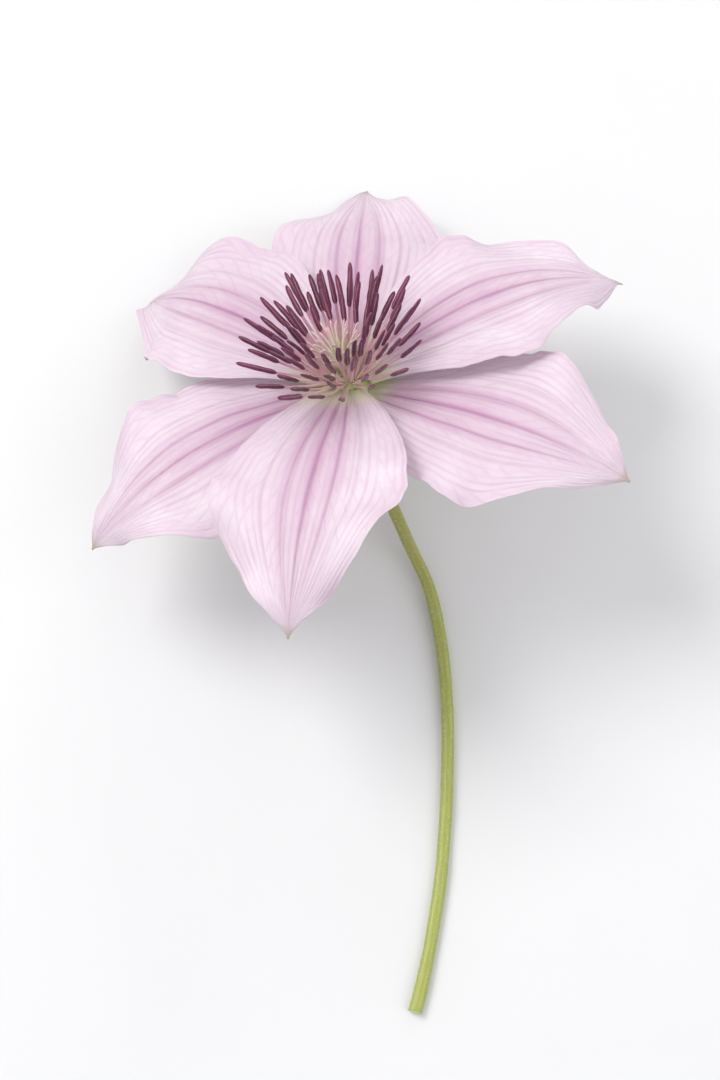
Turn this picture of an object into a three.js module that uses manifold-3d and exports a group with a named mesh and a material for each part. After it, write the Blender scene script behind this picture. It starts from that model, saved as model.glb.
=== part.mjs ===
// A clematis flower as picked: one open bloom on its own cut stalk, lying on a table.
//
// Units are millimetres. +Z is up, the table is the plane Z = 0, and the origin is on it under the
// middle of the flower's box. The stalk's cut end points towards -Y. The bloom leans away from the
// stalk and stands on the tips of two sepals. A clematis has no petals: its showy parts are sepals,
// in two whorls of three, round a crown of stamens and a tuft of styles.
import * as THREE from "three";
import { mergeVertices } from "three/addons/utils/BufferGeometryUtils.js";
import Module from "manifold-3d";

// ---- Driving dimensions -------------------------------------------------------------------------

const BLOOM = {
  centre: [-1.955, 26.137, 24.5], // where the sepals meet
  lean: 26, // degrees from facing straight up
  leanTowards: 116, // direction of that lean on the table, degrees from +X
};

const SEPAL = {
  length: 48,
  width: 30,
  foot: 3.0, // distance of its foot from the bloom's axis
  outerFoot: -1.3, // height of the outer whorl's feet along the bloom's axis
  whorlStep: 1.7, // height of the inner whorl's feet over the outer whorl's
  bend: 1.7, // how late it curls: 1 is evenly from its foot
  restingBend: 1.2, // the same, of the sepals that stand on the table
  resting: 2, // how many stand on the table
  tipSink: 0.45, // how much of their tips is pressed flat on the table
  curlSearch: [-60, 15], // slopes of their tips, degrees, between which they meet it
};

// Outline of a sepal. Widths are shares of its full width, places are shares of its length.
const OUTLINE = { footWidth: 0.25, swell: 1.15, widest: 0.52, shoulder: 1.9, point: 1.25, tipWidth: 0.012 };

// Thickness of a sepal, which is thicker at its foot.
const BLADE = { thickness: 0.6, footThickness: 0.9, thinFrom: 0.25 };

// The waved margin: the waves' height, how many fit in the length, how close they keep to the margin,
// and where along the sepal they begin, are full, begin to die away and end.
const WAVES = { height: 1.9, count: 2.7, hem: 2.4, from: 0.3, full: 0.6, fading: 0.88, to: 1 };

// Three grooves run down the face, and stand as ribs on the back. place: of the outer two, as a share
// of the half width.
const GROOVES = { depth: 0.3, width: 0.07, place: 0.24, full: 0.1, fading: 0.85 };

// The foot is folded up into a channel, which has opened out at the share of the length given.
const CHANNEL = { curve: 0.05, opened: 0.3 };

// Each sepal's own habit, going round from the one that points away from the stalk. turn: degrees
// from its even place. rise and curl: slope of its foot and of its tip, degrees. stretch: share of the
// full length. twist and sway: degrees. cup: edges up (+) or down (-). waves: phase on each side. The
// first two stand on the table, which sets their curl.
const HABITS = [
  { turn: 1.5, rise: 14, stretch: 1.0, twist: 6, sway: 2.5, cup: -0.006, waves: [0.4, 2.9] },
  { turn: -2, rise: 20, stretch: 0.98, twist: -9, sway: -3, cup: 0.004, waves: [1.9, 5.1] },
  { turn: 2, rise: 14, curl: -40, stretch: 0.97, twist: -8, sway: 3.5, cup: -0.012, waves: [3.6, 0.8] },
  { turn: -2.5, rise: 21, curl: -46, stretch: 1.03, twist: 14, sway: -2, cup: 0.003, waves: [5.3, 2.2] },
  { turn: 2.5, rise: 15, curl: -34, stretch: 1.0, twist: 9, sway: 3, cup: -0.01, waves: [0.9, 4.2] },
  { turn: -1, rise: 20, curl: -44, stretch: 0.96, twist: -12, sway: -3.5, cup: 0.006, waves: [2.7, 0.2] },
];

const STAMENS = {
  seed: 7,
  collar: { inner: 2.0, outer: 3.3, bottom: 1.3, rim: 2.4, top: 2.9, sides: 20 },
  rootHeight: 1.8,
  // From the outer ring in. slopes: from the bloom's plane, at the root and at the tip, degrees.
  rings: [
    { count: 18, root: 2.95, length: 15.5, slopes: [30, 50] },
    { count: 18, root: 2.55, length: 14.5, slopes: [50, 62] },
    { count: 14, root: 2.2, length: 12.5, slopes: [66, 74] },
  ],
  filamentRadius: 0.38,
  antherRadius: 0.58,
  antherTip: 0.22,
  antherStart: 0.14, // how far into its swelling the anther begins
  antherShare: 0.44, // of the stamen's length
  jitter: { turn: 4, slope: 4, length: 0.06 },
  sides: 4,
  steps: 6,
};

const PISTIL = {
  seed: 11,
  dome: { radius: 1.6, bottom: 1.9, height: 1.7, sides: 14, steps: 6 },
  count: 22,
  rootSpread: 1.15, // distance of the outermost styles' roots from the axis
  rootHeight: 2.5,
  length: 8.5,
  outerShorter: 0.12, // share by which the outermost are shorter
  radius: 0.34,
  taper: 0.25, // share of the radius that is lost along a style
  spread: 17, // slope of the outermost from the axis, degrees
  bend: [5, 15], // how much the innermost and the outermost bend outwards, degrees
  jitter: { slope: 2, length: 0.05 },
  sides: 4,
  steps: 3,
};

const STALK = {
  radius: 1.0,
  cutRadius: 1.1,
  cutSwell: 0.1, // share of the length over which it swells towards the cut
  neckRadius: 1.25, // under the bloom
  neckSwell: 0.75, // share of the length from which it swells towards the bloom
  landingSlope: 7, // degrees below level where its bend under the bloom ends
  landingLift: 1.5, // height of its middle line there, over where it lies
  endPull: 26, // reach of the curve from the cut end
  end: [10.5, -95.5], // its cut end, from the bloom's centre
  endHeading: -106, // the way the cut end points, degrees from +X
  sink: 0.12, // how much of its underside is pressed flat on the table
  sides: 10,
  steps: 44,
};

// The receptacle, as [distance from the bloom's axis, height along it], from the stem up: the flare
// that the outer sepals' feet sit on, the core inside their ring and the boss inside the stamens'
// collar.
const RECEPTACLE = {
  profile: [
    [0, -7.2],
    [1.05, -7.2],
    [1.5, -5.9],
    [2.1, -4.4],
    [2.8, -3.2],
    [3.3, -2.5],
    [3.3, -2.15],
    [2.55, -2.1],
    [2.55, 0.95],
    [1.5, 1.05],
    [1.5, 1.6],
    [0, 1.6],
  ],
  stemTop: -4.4, // how far the stem runs up inside it
  sides: 22,
};

const SHADES = { sepal: 0xe3c2dc, stamens: 0x7a3a5c, pistil: 0xe9dcc8, stalk: 0x9aa356 };
const ALONG = 18; // steps of a sepal's surface from foot to tip
const ACROSS = [-1, -0.82, -0.6, -0.38, -0.24, -0.1, 0, 0.1, 0.24, 0.38, 0.6, 0.82, 1];

// ---- Small tools --------------------------------------------------------------------------------

const wasm = await Module();
wasm.setup();
const TURN = 2 * Math.PI;
const GOLDEN_ANGLE = Math.PI * (3 - Math.sqrt(5));
const radians = THREE.MathUtils.degToRad;
const { lerp, smoothstep } = THREE.MathUtils;

// A seeded source of numbers from -1 to 1, the same on every run.
function draws(seed) {
  let state = seed;
  return () => {
    state = (state * 16807) % 2147483647;
    return (2 * state) / 2147483647 - 1;
  };
}

// The way that points at a bearing round +Z and down from level by a slope, in radians.
function heading(bearing, slope) {
  return new THREE.Vector3(
    Math.cos(bearing) * Math.cos(slope),
    Math.sin(bearing) * Math.cos(slope),
    -Math.sin(slope),
  );
}

function solidOf(geometry) {
  const bare = geometry.clone();
  bare.deleteAttribute("normal");
  bare.deleteAttribute("uv");
  const merged = mergeVertices(bare, 1e-4);
  return new wasm.Manifold(
    new wasm.Mesh({
      numProp: 3,
      vertProperties: new Float32Array(merged.attributes.position.array),
      triVerts: new Uint32Array(merged.index.array),
    }),
  );
}

function geometryOf(solid) {
  const mesh = solid.getMesh();
  return new THREE.BufferGeometry()
    .setAttribute("position", new THREE.BufferAttribute(mesh.vertProperties, 3))
    .setIndex(new THREE.BufferAttribute(mesh.triVerts, 1));
}

function union(geometries) {
  return geometries.map(solidOf).reduce((whole, part) => whole.add(part));
}

// What lies under the table, as a block in the frame of a group that world places.
function underTable(world) {
  const size = 400;
  const slab = new THREE.BoxGeometry(size, size, size).translate(0, 0, -size / 2);
  return solidOf(slab.applyMatrix4(world.clone().invert()));
}

// A cylinder's mesh bent along a curve. radiusAt gives the radius at each share of the way.
function taperedTube(curve, radiusAt, sides, steps) {
  const frames = curve.computeFrenetFrames(steps, false);
  const tube = new THREE.CylinderGeometry(1, 1, 1, sides, steps);
  const position = tube.attributes.position;
  const point = new THREE.Vector3();
  for (let i = 0; i < position.count; i++) {
    const step = Math.round((position.getY(i) + 0.5) * steps);
    const across = frames.normals[step];
    const side = across.clone().cross(frames.tangents[step]);
    const radius = radiusAt(step / steps);
    point
      .copy(curve.getPointAt(step / steps))
      .addScaledVector(across, position.getX(i) * radius)
      .addScaledVector(side, position.getZ(i) * radius);
    position.setXYZ(i, point.x, point.y, point.z);
  }
  return tube;
}

// ---- Sepals -------------------------------------------------------------------------------------

// Half the sepal's width at s, from foot (0) to tip (1).
function halfWidthAt(s) {
  const { footWidth, swell, widest, shoulder, point, tipWidth } = OUTLINE;
  const beyond = (s - widest) / (1 - widest);
  const share =
    s < widest
      ? lerp(footWidth, 1, Math.sin((Math.PI / 2) * (s / widest)) ** swell)
      : Math.max((1 - beyond ** shoulder) ** point, tipWidth);
  return (SEPAL.width / 2) * share;
}

// Slope of the midrib at s, in radians: it rises from the foot and curls back towards the tip.
function midribSlope(habit, s) {
  return radians(lerp(habit.rise, habit.curl, s ** habit.bend));
}

// The midrib's distance from the axis and its height at each of the steps from foot to tip.
function midrib(habit, inner) {
  const step = (SEPAL.length * habit.stretch) / ALONG;
  let out = SEPAL.foot;
  let up = SEPAL.outerFoot + (inner ? SEPAL.whorlStep : 0);
  const points = [[out, up]];
  for (let i = 0; i < ALONG; i++) {
    const slope = midribSlope(habit, (i + 0.5) / ALONG);
    out += step * Math.cos(slope);
    up += step * Math.sin(slope);
    points.push([out, up]);
  }
  return points;
}

// Height of the face over its plane at s along and t across (-1 to 1): the channelled foot, the cup,
// the waved margin and the three grooves.
function relief(habit, s, t) {
  const across = t * halfWidthAt(s);
  const curve = habit.cup + CHANNEL.curve * (1 - smoothstep(s, 0, CHANNEL.opened));
  const waving = smoothstep(s, WAVES.from, WAVES.full) * (1 - smoothstep(s, WAVES.fading, WAVES.to));
  const phase = habit.waves[t < 0 ? 0 : 1];
  const wave = waving * Math.abs(t) ** WAVES.hem * Math.sin(TURN * WAVES.count * s + phase);
  const grooved = smoothstep(s, 0, GROOVES.full) * (1 - smoothstep(s, GROOVES.fading, 1));
  const groove = (distance) => Math.exp(-((distance / GROOVES.width) ** 2));
  const grooves = groove(t) + groove(Math.abs(t) - GROOVES.place);
  return (curve * across ** 2) / 2 + WAVES.height * wave - GROOVES.depth * grooved * grooves;
}

// One sepal pointing along +X from the bloom's axis, its face up.
function sepalGeometry(habit, inner) {
  const line = midrib(habit, inner);
  const face = [];
  const back = [];
  for (let i = 0; i <= ALONG; i++) {
    const s = i / ALONG;
    const slope = midribSlope(habit, s);
    const thickness = lerp(BLADE.footThickness, BLADE.thickness, smoothstep(s, 0, BLADE.thinFrom));
    const sway = Math.tan(radians(habit.sway)) * s * s * SEPAL.length;
    const along = new THREE.Vector3(Math.cos(slope), 0, Math.sin(slope));
    const level = new THREE.Vector3(0, 1, 0).applyAxisAngle(along, radians(habit.twist) * s * s);
    const up = along.clone().cross(level);
    for (const t of ACROSS) {
      const middle = new THREE.Vector3(line[i][0], sway, line[i][1])
        .addScaledVector(level, t * halfWidthAt(s))
        .addScaledVector(up, relief(habit, s, t));
      face.push(middle.clone().addScaledVector(up, thickness / 2));
      back.push(middle.clone().addScaledVector(up, -thickness / 2));
    }
  }
  return closedBlade(face, back, ALONG + 1, ACROSS.length);
}

// A closed skin over two grids of points, split into triangles alike: a face seen from +Z, its back,
// and the rim between them.
function closedBlade(face, back, rows, columns) {
  const triangles = [];
  const quad = (a, b, c, d) => triangles.push(a, b, c, a, c, d);
  const at = (row, column) => row * columns + column;
  const under = (index) => index + face.length;
  for (let row = 0; row + 1 < rows; row++)
    for (let column = 0; column + 1 < columns; column++) {
      const a = at(row, column);
      const b = at(row + 1, column);
      const c = at(row + 1, column + 1);
      const d = at(row, column + 1);
      quad(a, b, c, d);
      triangles.push(under(a), under(c), under(b), under(a), under(d), under(c));
    }
  const rim = [];
  for (let row = 0; row + 1 < rows; row++) rim.push(at(row, 0));
  for (let column = 0; column + 1 < columns; column++) rim.push(at(rows - 1, column));
  for (let row = rows - 1; row > 0; row--) rim.push(at(row, columns - 1));
  for (let column = columns - 1; column > 0; column--) rim.push(at(0, column));
  rim.forEach((from, i) => {
    const to = rim[(i + 1) % rim.length];
    quad(under(from), under(to), to, from);
  });
  return new THREE.BufferGeometry().setFromPoints([...face, ...back]).setIndex(triangles);
}

function lowest(geometry, world) {
  const placed = geometry.clone().applyMatrix4(world);
  placed.computeBoundingBox();
  return placed.boundingBox.min.z;
}

// The habit with the curl that brings its tip a little below the table, to be cut flat there.
function settled(habit, inner, world) {
  let [down, up] = SEPAL.curlSearch;
  const curled = () => ({ ...habit, bend: SEPAL.restingBend, curl: (down + up) / 2 });
  for (let i = 0; i < 30; i++) {
    if (lowest(sepalGeometry(curled(), inner), world) < -SEPAL.tipSink) down = curled().curl;
    else up = curled().curl;
  }
  return curled();
}

// ---- Stamens, pistil, stalk ---------------------------------------------------------------------

function lathe(profile, sides) {
  const points = profile.map(([out, up]) => new THREE.Vector2(out, up));
  return new THREE.LatheGeometry(points, sides).rotateX(Math.PI / 2);
}

// A curve in the upright plane at the given bearing: it leaves its root at the first slope from the
// bloom's plane and ends at the second.
function sprout(bearing, root, height, length, slopes) {
  const reach = (slope) => heading(bearing, -slope).multiplyScalar(length / 2);
  const start = heading(bearing, 0).multiplyScalar(root).setZ(height);
  const middle = start.clone().add(reach(slopes[0]));
  return new THREE.QuadraticBezierCurve3(start, middle, middle.clone().add(reach(slopes[1])));
}

// Radius along one stamen: a thin filament, then the longer and thicker anther with a blunt tip.
function stamenRadius(share) {
  const { antherShare, antherRadius, antherTip, antherStart, filamentRadius } = STAMENS;
  const along = (share - 1 + antherShare) / antherShare;
  if (along < 0) return filamentRadius;
  const fullness = Math.sqrt(Math.max(Math.sin(Math.PI * lerp(antherStart, 1, along)), 0));
  return lerp(antherTip, antherRadius, fullness);
}

function stamensGeometry() {
  const { collar, rings, jitter, sides, steps } = STAMENS;
  const draw = draws(STAMENS.seed);
  const ring = [
    [collar.inner, collar.bottom],
    [collar.outer, collar.bottom],
    [collar.outer, collar.rim],
    [collar.inner, collar.top],
    [collar.inner, collar.bottom],
  ];
  const parts = [lathe(ring, collar.sides)];
  rings.forEach(({ count, root, length, slopes }, order) => {
    for (let i = 0; i < count; i++) {
      const bearing = (TURN * (i + order / 2)) / count + radians(jitter.turn * draw());
      const change = jitter.slope * draw();
      const own = slopes.map((slope) => radians(slope + change));
      const reach = length * (1 + jitter.length * draw());
      const curve = sprout(bearing, root, STAMENS.rootHeight, reach, own);
      parts.push(taperedTube(curve, stamenRadius, sides, steps));
    }
  });
  return geometryOf(union(parts));
}

function pistilGeometry() {
  const { dome, count, jitter, bend, sides, steps } = PISTIL;
  const draw = draws(PISTIL.seed);
  const profile = [[0, dome.bottom]];
  for (let i = 0; i < dome.steps; i++) {
    const angle = (Math.PI / 2) * (i / dome.steps);
    profile.push([dome.radius * Math.cos(angle), dome.bottom + dome.height * Math.sin(angle)]);
  }
  profile.push([0, dome.bottom + dome.height]);
  const parts = [lathe(profile, dome.sides)];
  const styleRadius = (along) => PISTIL.radius * (1 - PISTIL.taper * along);
  for (let i = 0; i < count; i++) {
    const share = Math.sqrt((i + 0.5) / count); // with the golden angle, covers the dome evenly
    const slope = 90 - PISTIL.spread * share + jitter.slope * draw();
    const length = PISTIL.length * (1 - PISTIL.outerShorter * share + jitter.length * draw());
    const slopes = [radians(slope), radians(slope - lerp(...bend, share))];
    const curve = sprout(i * GOLDEN_ANGLE, PISTIL.rootSpread * share, PISTIL.rootHeight, length, slopes);
    parts.push(taperedTube(curve, styleRadius, sides, steps));
  }
  return geometryOf(union(parts));
}

// The stem's middle line, from its cut end along the table, then round one bend up to the bloom.
function stalkRoute(centre, axis) {
  const rest = STALK.radius - STALK.sink;
  const away = radians(BLOOM.leanTowards + 180);
  const top = centre.clone().addScaledVector(axis, RECEPTACLE.stemTop);
  const steep = radians(90 - BLOOM.lean);
  const shallow = radians(STALK.landingSlope);
  const landingHeight = rest + STALK.landingLift;
  const radius = (top.z - landingHeight) / (Math.cos(shallow) - Math.cos(steep));
  const travel = radius * (Math.sin(steep) - Math.sin(shallow));
  const bendPull = (4 / 3) * Math.tan((steep - shallow) / 4) * radius;
  const landing = top.clone().addScaledVector(heading(away, 0), travel).setZ(landingHeight);
  const end = new THREE.Vector3(centre.x + STALK.end[0], centre.y + STALK.end[1], rest);
  const route = new THREE.CurvePath();
  route.add(
    new THREE.CubicBezierCurve3(
      end,
      end.clone().addScaledVector(heading(radians(STALK.endHeading), 0), -STALK.endPull),
      landing.clone().addScaledVector(heading(away, shallow), STALK.landingLift / Math.sin(shallow)),
      landing,
    ),
  );
  route.add(
    new THREE.CubicBezierCurve3(
      landing,
      landing.clone().addScaledVector(heading(away, shallow), -bendPull),
      top.clone().addScaledVector(axis, -bendPull),
      top,
    ),
  );
  return route;
}

function stalkRadius(share) {
  const { radius, cutRadius, cutSwell, neckRadius, neckSwell } = STALK;
  if (share < cutSwell) return lerp(cutRadius, radius, share / cutSwell);
  return lerp(radius, neckRadius, smoothstep(share, neckSwell, 1));
}

// ---- The flower ---------------------------------------------------------------------------------

function mesh(name, geometry, colour, roughness) {
  const made = new THREE.Mesh(
    geometry,
    new THREE.MeshStandardMaterial({ color: colour, roughness, metalness: 0 }),
  );
  made.name = name;
  return made;
}

const flower = new THREE.Group();

const bloom = new THREE.Group();
const leanAxis = heading(radians(BLOOM.leanTowards + 90), 0);
bloom.position.set(...BLOOM.centre);
bloom.quaternion.setFromAxisAngle(leanAxis, radians(BLOOM.lean));
flower.add(bloom);
bloom.updateMatrixWorld(true);

// The first two sepals stand either side of the way that the bloom leans.
HABITS.forEach((own, i) => {
  const place = new THREE.Group();
  place.rotation.z = radians(BLOOM.leanTowards + 60 * (i - 0.5) + own.turn);
  bloom.add(place);
  place.updateMatrixWorld(true);
  const inner = i % 2 === 1;
  const habit = i < SEPAL.resting ? settled(own, inner, place.matrixWorld) : { bend: SEPAL.bend, ...own };
  const blade = solidOf(sepalGeometry(habit, inner)).subtract(underTable(place.matrixWorld));
  place.add(mesh(`sepal_${i + 1}`, geometryOf(blade), SHADES.sepal, 0.6));
});

bloom.add(mesh("stamens", stamensGeometry(), SHADES.stamens, 0.7));
bloom.add(mesh("pistil", pistilGeometry(), SHADES.pistil, 0.7));

const axis = new THREE.Vector3(0, 0, 1).applyQuaternion(bloom.quaternion);
const stem = taperedTube(stalkRoute(bloom.position, axis), stalkRadius, STALK.sides, STALK.steps);
const head = lathe(RECEPTACLE.profile, RECEPTACLE.sides).applyMatrix4(bloom.matrixWorld);
const stalk = union([stem, head]).subtract(underTable(new THREE.Matrix4()));
flower.add(mesh("stalk", geometryOf(stalk), SHADES.stalk, 0.65));

export default flower;
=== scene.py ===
"""A clematis flower as picked: one open bloom on its own cut stalk, lying on a pale table.

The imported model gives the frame. Its plain solids are replaced here, each where it lies, by the
living thing: veined and waved sepals, the crown of stamens, the tuft of styles and the downy stalk.
Sizes are in millimetres, and become metres where a mesh is made. A place along a blade, a thread or
the stem is a share of its length, from 0 at its foot to 1 at its tip.
"""
import math
from itertools import product

import bpy
import numpy as np
from mathutils import Matrix, Vector


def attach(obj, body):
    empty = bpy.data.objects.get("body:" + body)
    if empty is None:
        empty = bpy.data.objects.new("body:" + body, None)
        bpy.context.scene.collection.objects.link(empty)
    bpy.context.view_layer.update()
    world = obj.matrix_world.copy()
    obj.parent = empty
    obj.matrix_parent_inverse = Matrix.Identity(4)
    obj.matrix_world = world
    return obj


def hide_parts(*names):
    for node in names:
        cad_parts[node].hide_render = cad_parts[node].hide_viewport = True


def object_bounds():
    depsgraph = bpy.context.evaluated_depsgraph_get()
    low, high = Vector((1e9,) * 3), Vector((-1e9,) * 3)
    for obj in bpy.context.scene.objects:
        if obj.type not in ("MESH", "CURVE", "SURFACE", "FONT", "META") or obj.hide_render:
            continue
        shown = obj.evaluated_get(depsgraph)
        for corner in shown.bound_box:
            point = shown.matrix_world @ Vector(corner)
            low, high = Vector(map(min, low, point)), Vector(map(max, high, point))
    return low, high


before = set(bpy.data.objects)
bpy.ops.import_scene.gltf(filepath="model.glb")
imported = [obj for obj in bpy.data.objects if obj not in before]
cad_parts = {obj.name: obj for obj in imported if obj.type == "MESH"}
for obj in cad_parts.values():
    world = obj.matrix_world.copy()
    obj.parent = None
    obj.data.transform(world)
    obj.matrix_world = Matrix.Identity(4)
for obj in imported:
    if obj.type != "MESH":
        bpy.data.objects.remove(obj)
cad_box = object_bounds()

MM = 0.001  # one millimetre in metres
METRE = 1000  # one metre in millimetres
TURN = 2 * math.pi
GOLDEN_ANGLE = math.pi * (3 - math.sqrt(5))  # the turn from each style or carpel to the next


# ---- The flower's own sizes, as in the part ---------------------------------------------------------

BLOOM_CENTRE = np.array([-1.955, 26.137, 24.5])
LEAN = math.radians(26)  # of its axis from upright
LEAN_TOWARDS = math.radians(116)  # bearing, away from the stalk

SEPAL_LENGTH = 48
SEPAL_WIDTH = 30
SEPAL_ANGLE = 60
SEPAL_FOOT = 3.0  # distance of its foot from the bloom's axis
OUTER_FOOT = -1.3  # height of the outer whorl's feet
WHORL_STEP = 1.7  # from there up to the inner whorl's feet
BEND = 1.7  # the greater, the later a sepal turns from its rise to its curl
RESTING_BEND = 1.2
TIP_SINK = 0.45  # how far a resting tip would reach below the table if the table didn't bend it
CURL_SEARCH = (-60, 15)
SOLID_THICKNESS = 0.6  # of the part's plainer sepals

# Outline of a sepal. Widths are shares of its full width, places are shares of its length.
FOOT_WIDTH = 0.25
SWELL = 1.15
WIDEST = 0.52
SHOULDER = 1.9
POINT = 1.25
TIP_WIDTH = 0.012

FOOT_CHANNEL = 0.05  # curvature of the channelled foot
CHANNEL_END = 0.3
WAVE_HEIGHT = 1.9
WAVE_COUNT = 2.7
WAVE_HEM = 2.4  # the greater, the closer the waves keep to the margin
GROOVE_DEPTH = 0.3
GROOVE_WIDTH = 0.07
RIB_PLACE = 0.24  # of the outer two of the three ribs, as a share of the half width

# Parts of a sepal's length, as (where it starts, is full, starts to fade, is gone).
WAVED_PART = (0.3, 0.6, 0.88, 1)
GROOVED_PART = (0, 0.1, 0.85, 1)

# Angles are in degrees, cup is a curvature, and waves are the phases at the two margins. The first
# two sepals stand on the table, which sets their curl.
HABITS = [
    dict(turn=1.5, rise=14, curl=None, stretch=1.0, twist=6, sway=2.5, cup=-0.006, waves=(0.4, 2.9)),
    dict(turn=-2, rise=20, curl=None, stretch=0.98, twist=-9, sway=-3, cup=0.004, waves=(1.9, 5.1)),
    dict(turn=2, rise=14, curl=-40, stretch=0.97, twist=-8, sway=3.5, cup=-0.012, waves=(3.6, 0.8)),
    dict(turn=-2.5, rise=21, curl=-46, stretch=1.03, twist=14, sway=-2, cup=0.003, waves=(5.3, 2.2)),
    dict(turn=2.5, rise=15, curl=-34, stretch=1.0, twist=9, sway=3, cup=-0.01, waves=(0.9, 4.2)),
    dict(turn=-1, rise=20, curl=-44, stretch=0.96, twist=-12, sway=-3.5, cup=0.006, waves=(2.7, 0.2)),
]

STAMEN_SEED = 7
STAMEN_ROOT_HEIGHT = 1.8
STAMEN_RINGS = [
    dict(count=18, start=0.0, root=2.95, length=15.5, slopes=(30, 50)),
    dict(count=18, start=0.5, root=2.55, length=14.5, slopes=(50, 62)),
    dict(count=14, start=1.0, root=2.2, length=12.5, slopes=(66, 74)),
]
STAMEN_JITTER = dict(turn=4, slope=4, length=0.06)
ANTHER_SHARE = 0.44  # of a stamen's length

STYLE_SEED = 11
STYLE_ROOT_HEIGHT = 2.5
STYLES = dict(count=22, start=0.5, turn=0, root=1.15, length=8.5, shorter=0.12, uneven=0.05, lean=17,
              stray=2, nod=5)
STYLE_NOD = 10  # degrees by which the outermost styles nod further

STALK_RADIUS = 1.0
CUT_RADIUS = 1.1
NECK_RADIUS = 1.25
STALK_SINK = 0.12  # how much of its underside is pressed flat by the table
LANDING_SLOPE = math.radians(7)  # where its bend under the bloom runs out
LANDING_LIFT = 1.5
END_PULL = 26  # how strongly it keeps its way where it is cut
END = (10.5, -95.5)  # its cut end, from the bloom's centre
END_HEADING = math.radians(-106)
STEM_TOP = -4.4

# The flare under the sepals, as (distance from the bloom's axis, height along it).
FLARE = [
    (0.0, -8.5), (1.1, -7.6), (1.2, -7.0), (1.3, -6.4), (1.45, -5.7), (1.68, -5.0), (1.98, -4.35),
    (2.36, -3.7), (2.78, -3.1), (3.1, -2.6), (3.28, -2.2), (3.32, -1.95), (3.24, -1.7), (3.0, -1.6),
]
# The core inside the ring of sepals, with the share by which it stands out further under the inner ones.
CORE = [
    (0.3, -2.7, 0), (2.2, -2.65, 0), (2.7, -2.45, 0.1), (3.0, -2.15, 0.18), (3.1, -1.8, 0.25),
    (3.15, -1.5, 0.3), (3.2, -1.2, 0.31), (3.5, -0.85, 0.22), (3.95, -0.55, 0.08), (4.2, -0.2, 0),
    (4.1, 0.12, 0), (3.7, 0.28, 0), (3.3, 0.38, 0), (3.02, 0.55, 0), (2.9, 0.9, 0), (2.88, 1.4, 0),
    (2.76, 1.75, 0), (2.4, 2.05, 0), (1.9, 2.25, 0), (1.2, 2.3, 0), (0.3, 2.3, 0),
]


# ---- Small tools --------------------------------------------------------------------------------------

TABLE_GAP = 0.02  # nothing comes closer to the table than this


def heading(bearing, slope=0.0):
    """The way that points at a bearing round +Z and down from level by a slope, in radians."""
    flat = math.cos(slope)
    return np.array([math.cos(bearing) * flat, math.sin(bearing) * flat, -math.sin(slope)])


LEANING = np.array(Matrix.Rotation(LEAN, 3, Vector(heading(LEAN_TOWARDS + math.pi / 2))))
BLOOM_AXIS = LEANING[:, 2]


def in_bloom(points):
    """Points given round the bloom's axis, in the part's frame."""
    return points @ LEANING.T + BLOOM_CENTRE


def above_table(points):
    """Points, with those that would sink into the table pressed flat on it."""
    points[..., 2] = np.maximum(points[..., 2], TABLE_GAP)
    return points


def unit(vectors):
    """The same vectors with a length of 1."""
    return vectors / np.linalg.norm(vectors, axis=-1, keepdims=True)


def smooth(x, low, high):
    """0 below low, 1 above high, and a smooth step between them."""
    x = np.clip((x - low) / (high - low), 0, 1)
    return x * x * (3 - 2 * x)


def span(x, part):
    """1 along a part of x and 0 outside it. part: where it starts, is full, starts to fade, is gone."""
    start, full, fade, gone = part
    return smooth(x, start, full) * (1 - smooth(x, fade, gone))


def bell(x, width):
    """1 where x is 0, and next to nothing where it is twice the width."""
    return np.exp(-((x / width) ** 2))


def all_round(count):
    """Evenly spaced angles, all the way round."""
    return np.linspace(0, TURN, count, endpoint=False)


def draws(seed):
    """A source of numbers from -1 to 1, the same on every run and in the part."""
    state = seed
    while True:
        state = state * 16807 % 2147483647
        yield 2 * state / 2147483647 - 1


def ripples(rng, x, y, count, lengths):
    """A smooth random field from -1 to 1: waves of random lengths, in mm, and headings over x and y."""
    total = np.zeros(np.broadcast(x, y).shape)
    for _ in range(count):
        bearing = rng.uniform(0, TURN)
        length = rng.uniform(*lengths)
        across = (x * math.cos(bearing) + y * math.sin(bearing)) / length
        total += np.sin(TURN * across + rng.uniform(0, TURN))
    return total / count


def tube(rings):
    """Points and faces of a closed tube through rings of points, from its first ring to its last."""
    grid = np.arange(rings[..., 0].size).reshape(rings.shape[:2])
    after = np.roll(grid, -1, 1)
    faces = np.stack([grid[:-1], after[:-1], after[1:], grid[1:]], -1).reshape(-1, 4).tolist()
    faces += [grid[0, ::-1].tolist(), grid[-1].tolist()]
    return rings.reshape(-1, 3), faces


def piece(name, points, faces, material, stands_for=(), values=None):
    """A mesh in the row's frame, from points in mm, that rides on the flower."""
    mesh = bpy.data.meshes.new(name)
    mesh.from_pydata((np.asarray(points) * MM).tolist(), [], faces)
    for key, numbers in (values or {}).items():
        numbers = np.asarray(numbers, np.float32)
        kind, field = ("FLOAT", "value") if numbers.ndim == 1 else ("FLOAT_VECTOR", "vector")
        mesh.attributes.new(key, kind, "POINT").data.foreach_set(field, numbers.ravel())
    mesh.shade_smooth()
    mesh.materials.append(material)
    made = bpy.data.objects.new(name, mesh)
    bpy.context.scene.collection.objects.link(made)
    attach(made, "root")
    if stands_for:
        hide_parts(*stands_for)


def joined(parts):
    """One list of points, faces and values from several (points, faces, values)."""
    points, faces, values = [], [], {}
    start = 0
    for own_points, own_faces, own_values in parts:
        points.append(own_points)
        faces += [[i + start for i in face] for face in own_faces]
        for key, numbers in own_values.items():
            values.setdefault(key, []).append(numbers)
        start += len(own_points)
    return np.concatenate(points), faces, {key: np.concatenate(v) for key, v in values.items()}


# ---- Camera, table and lights -------------------------------------------------------------------------

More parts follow.
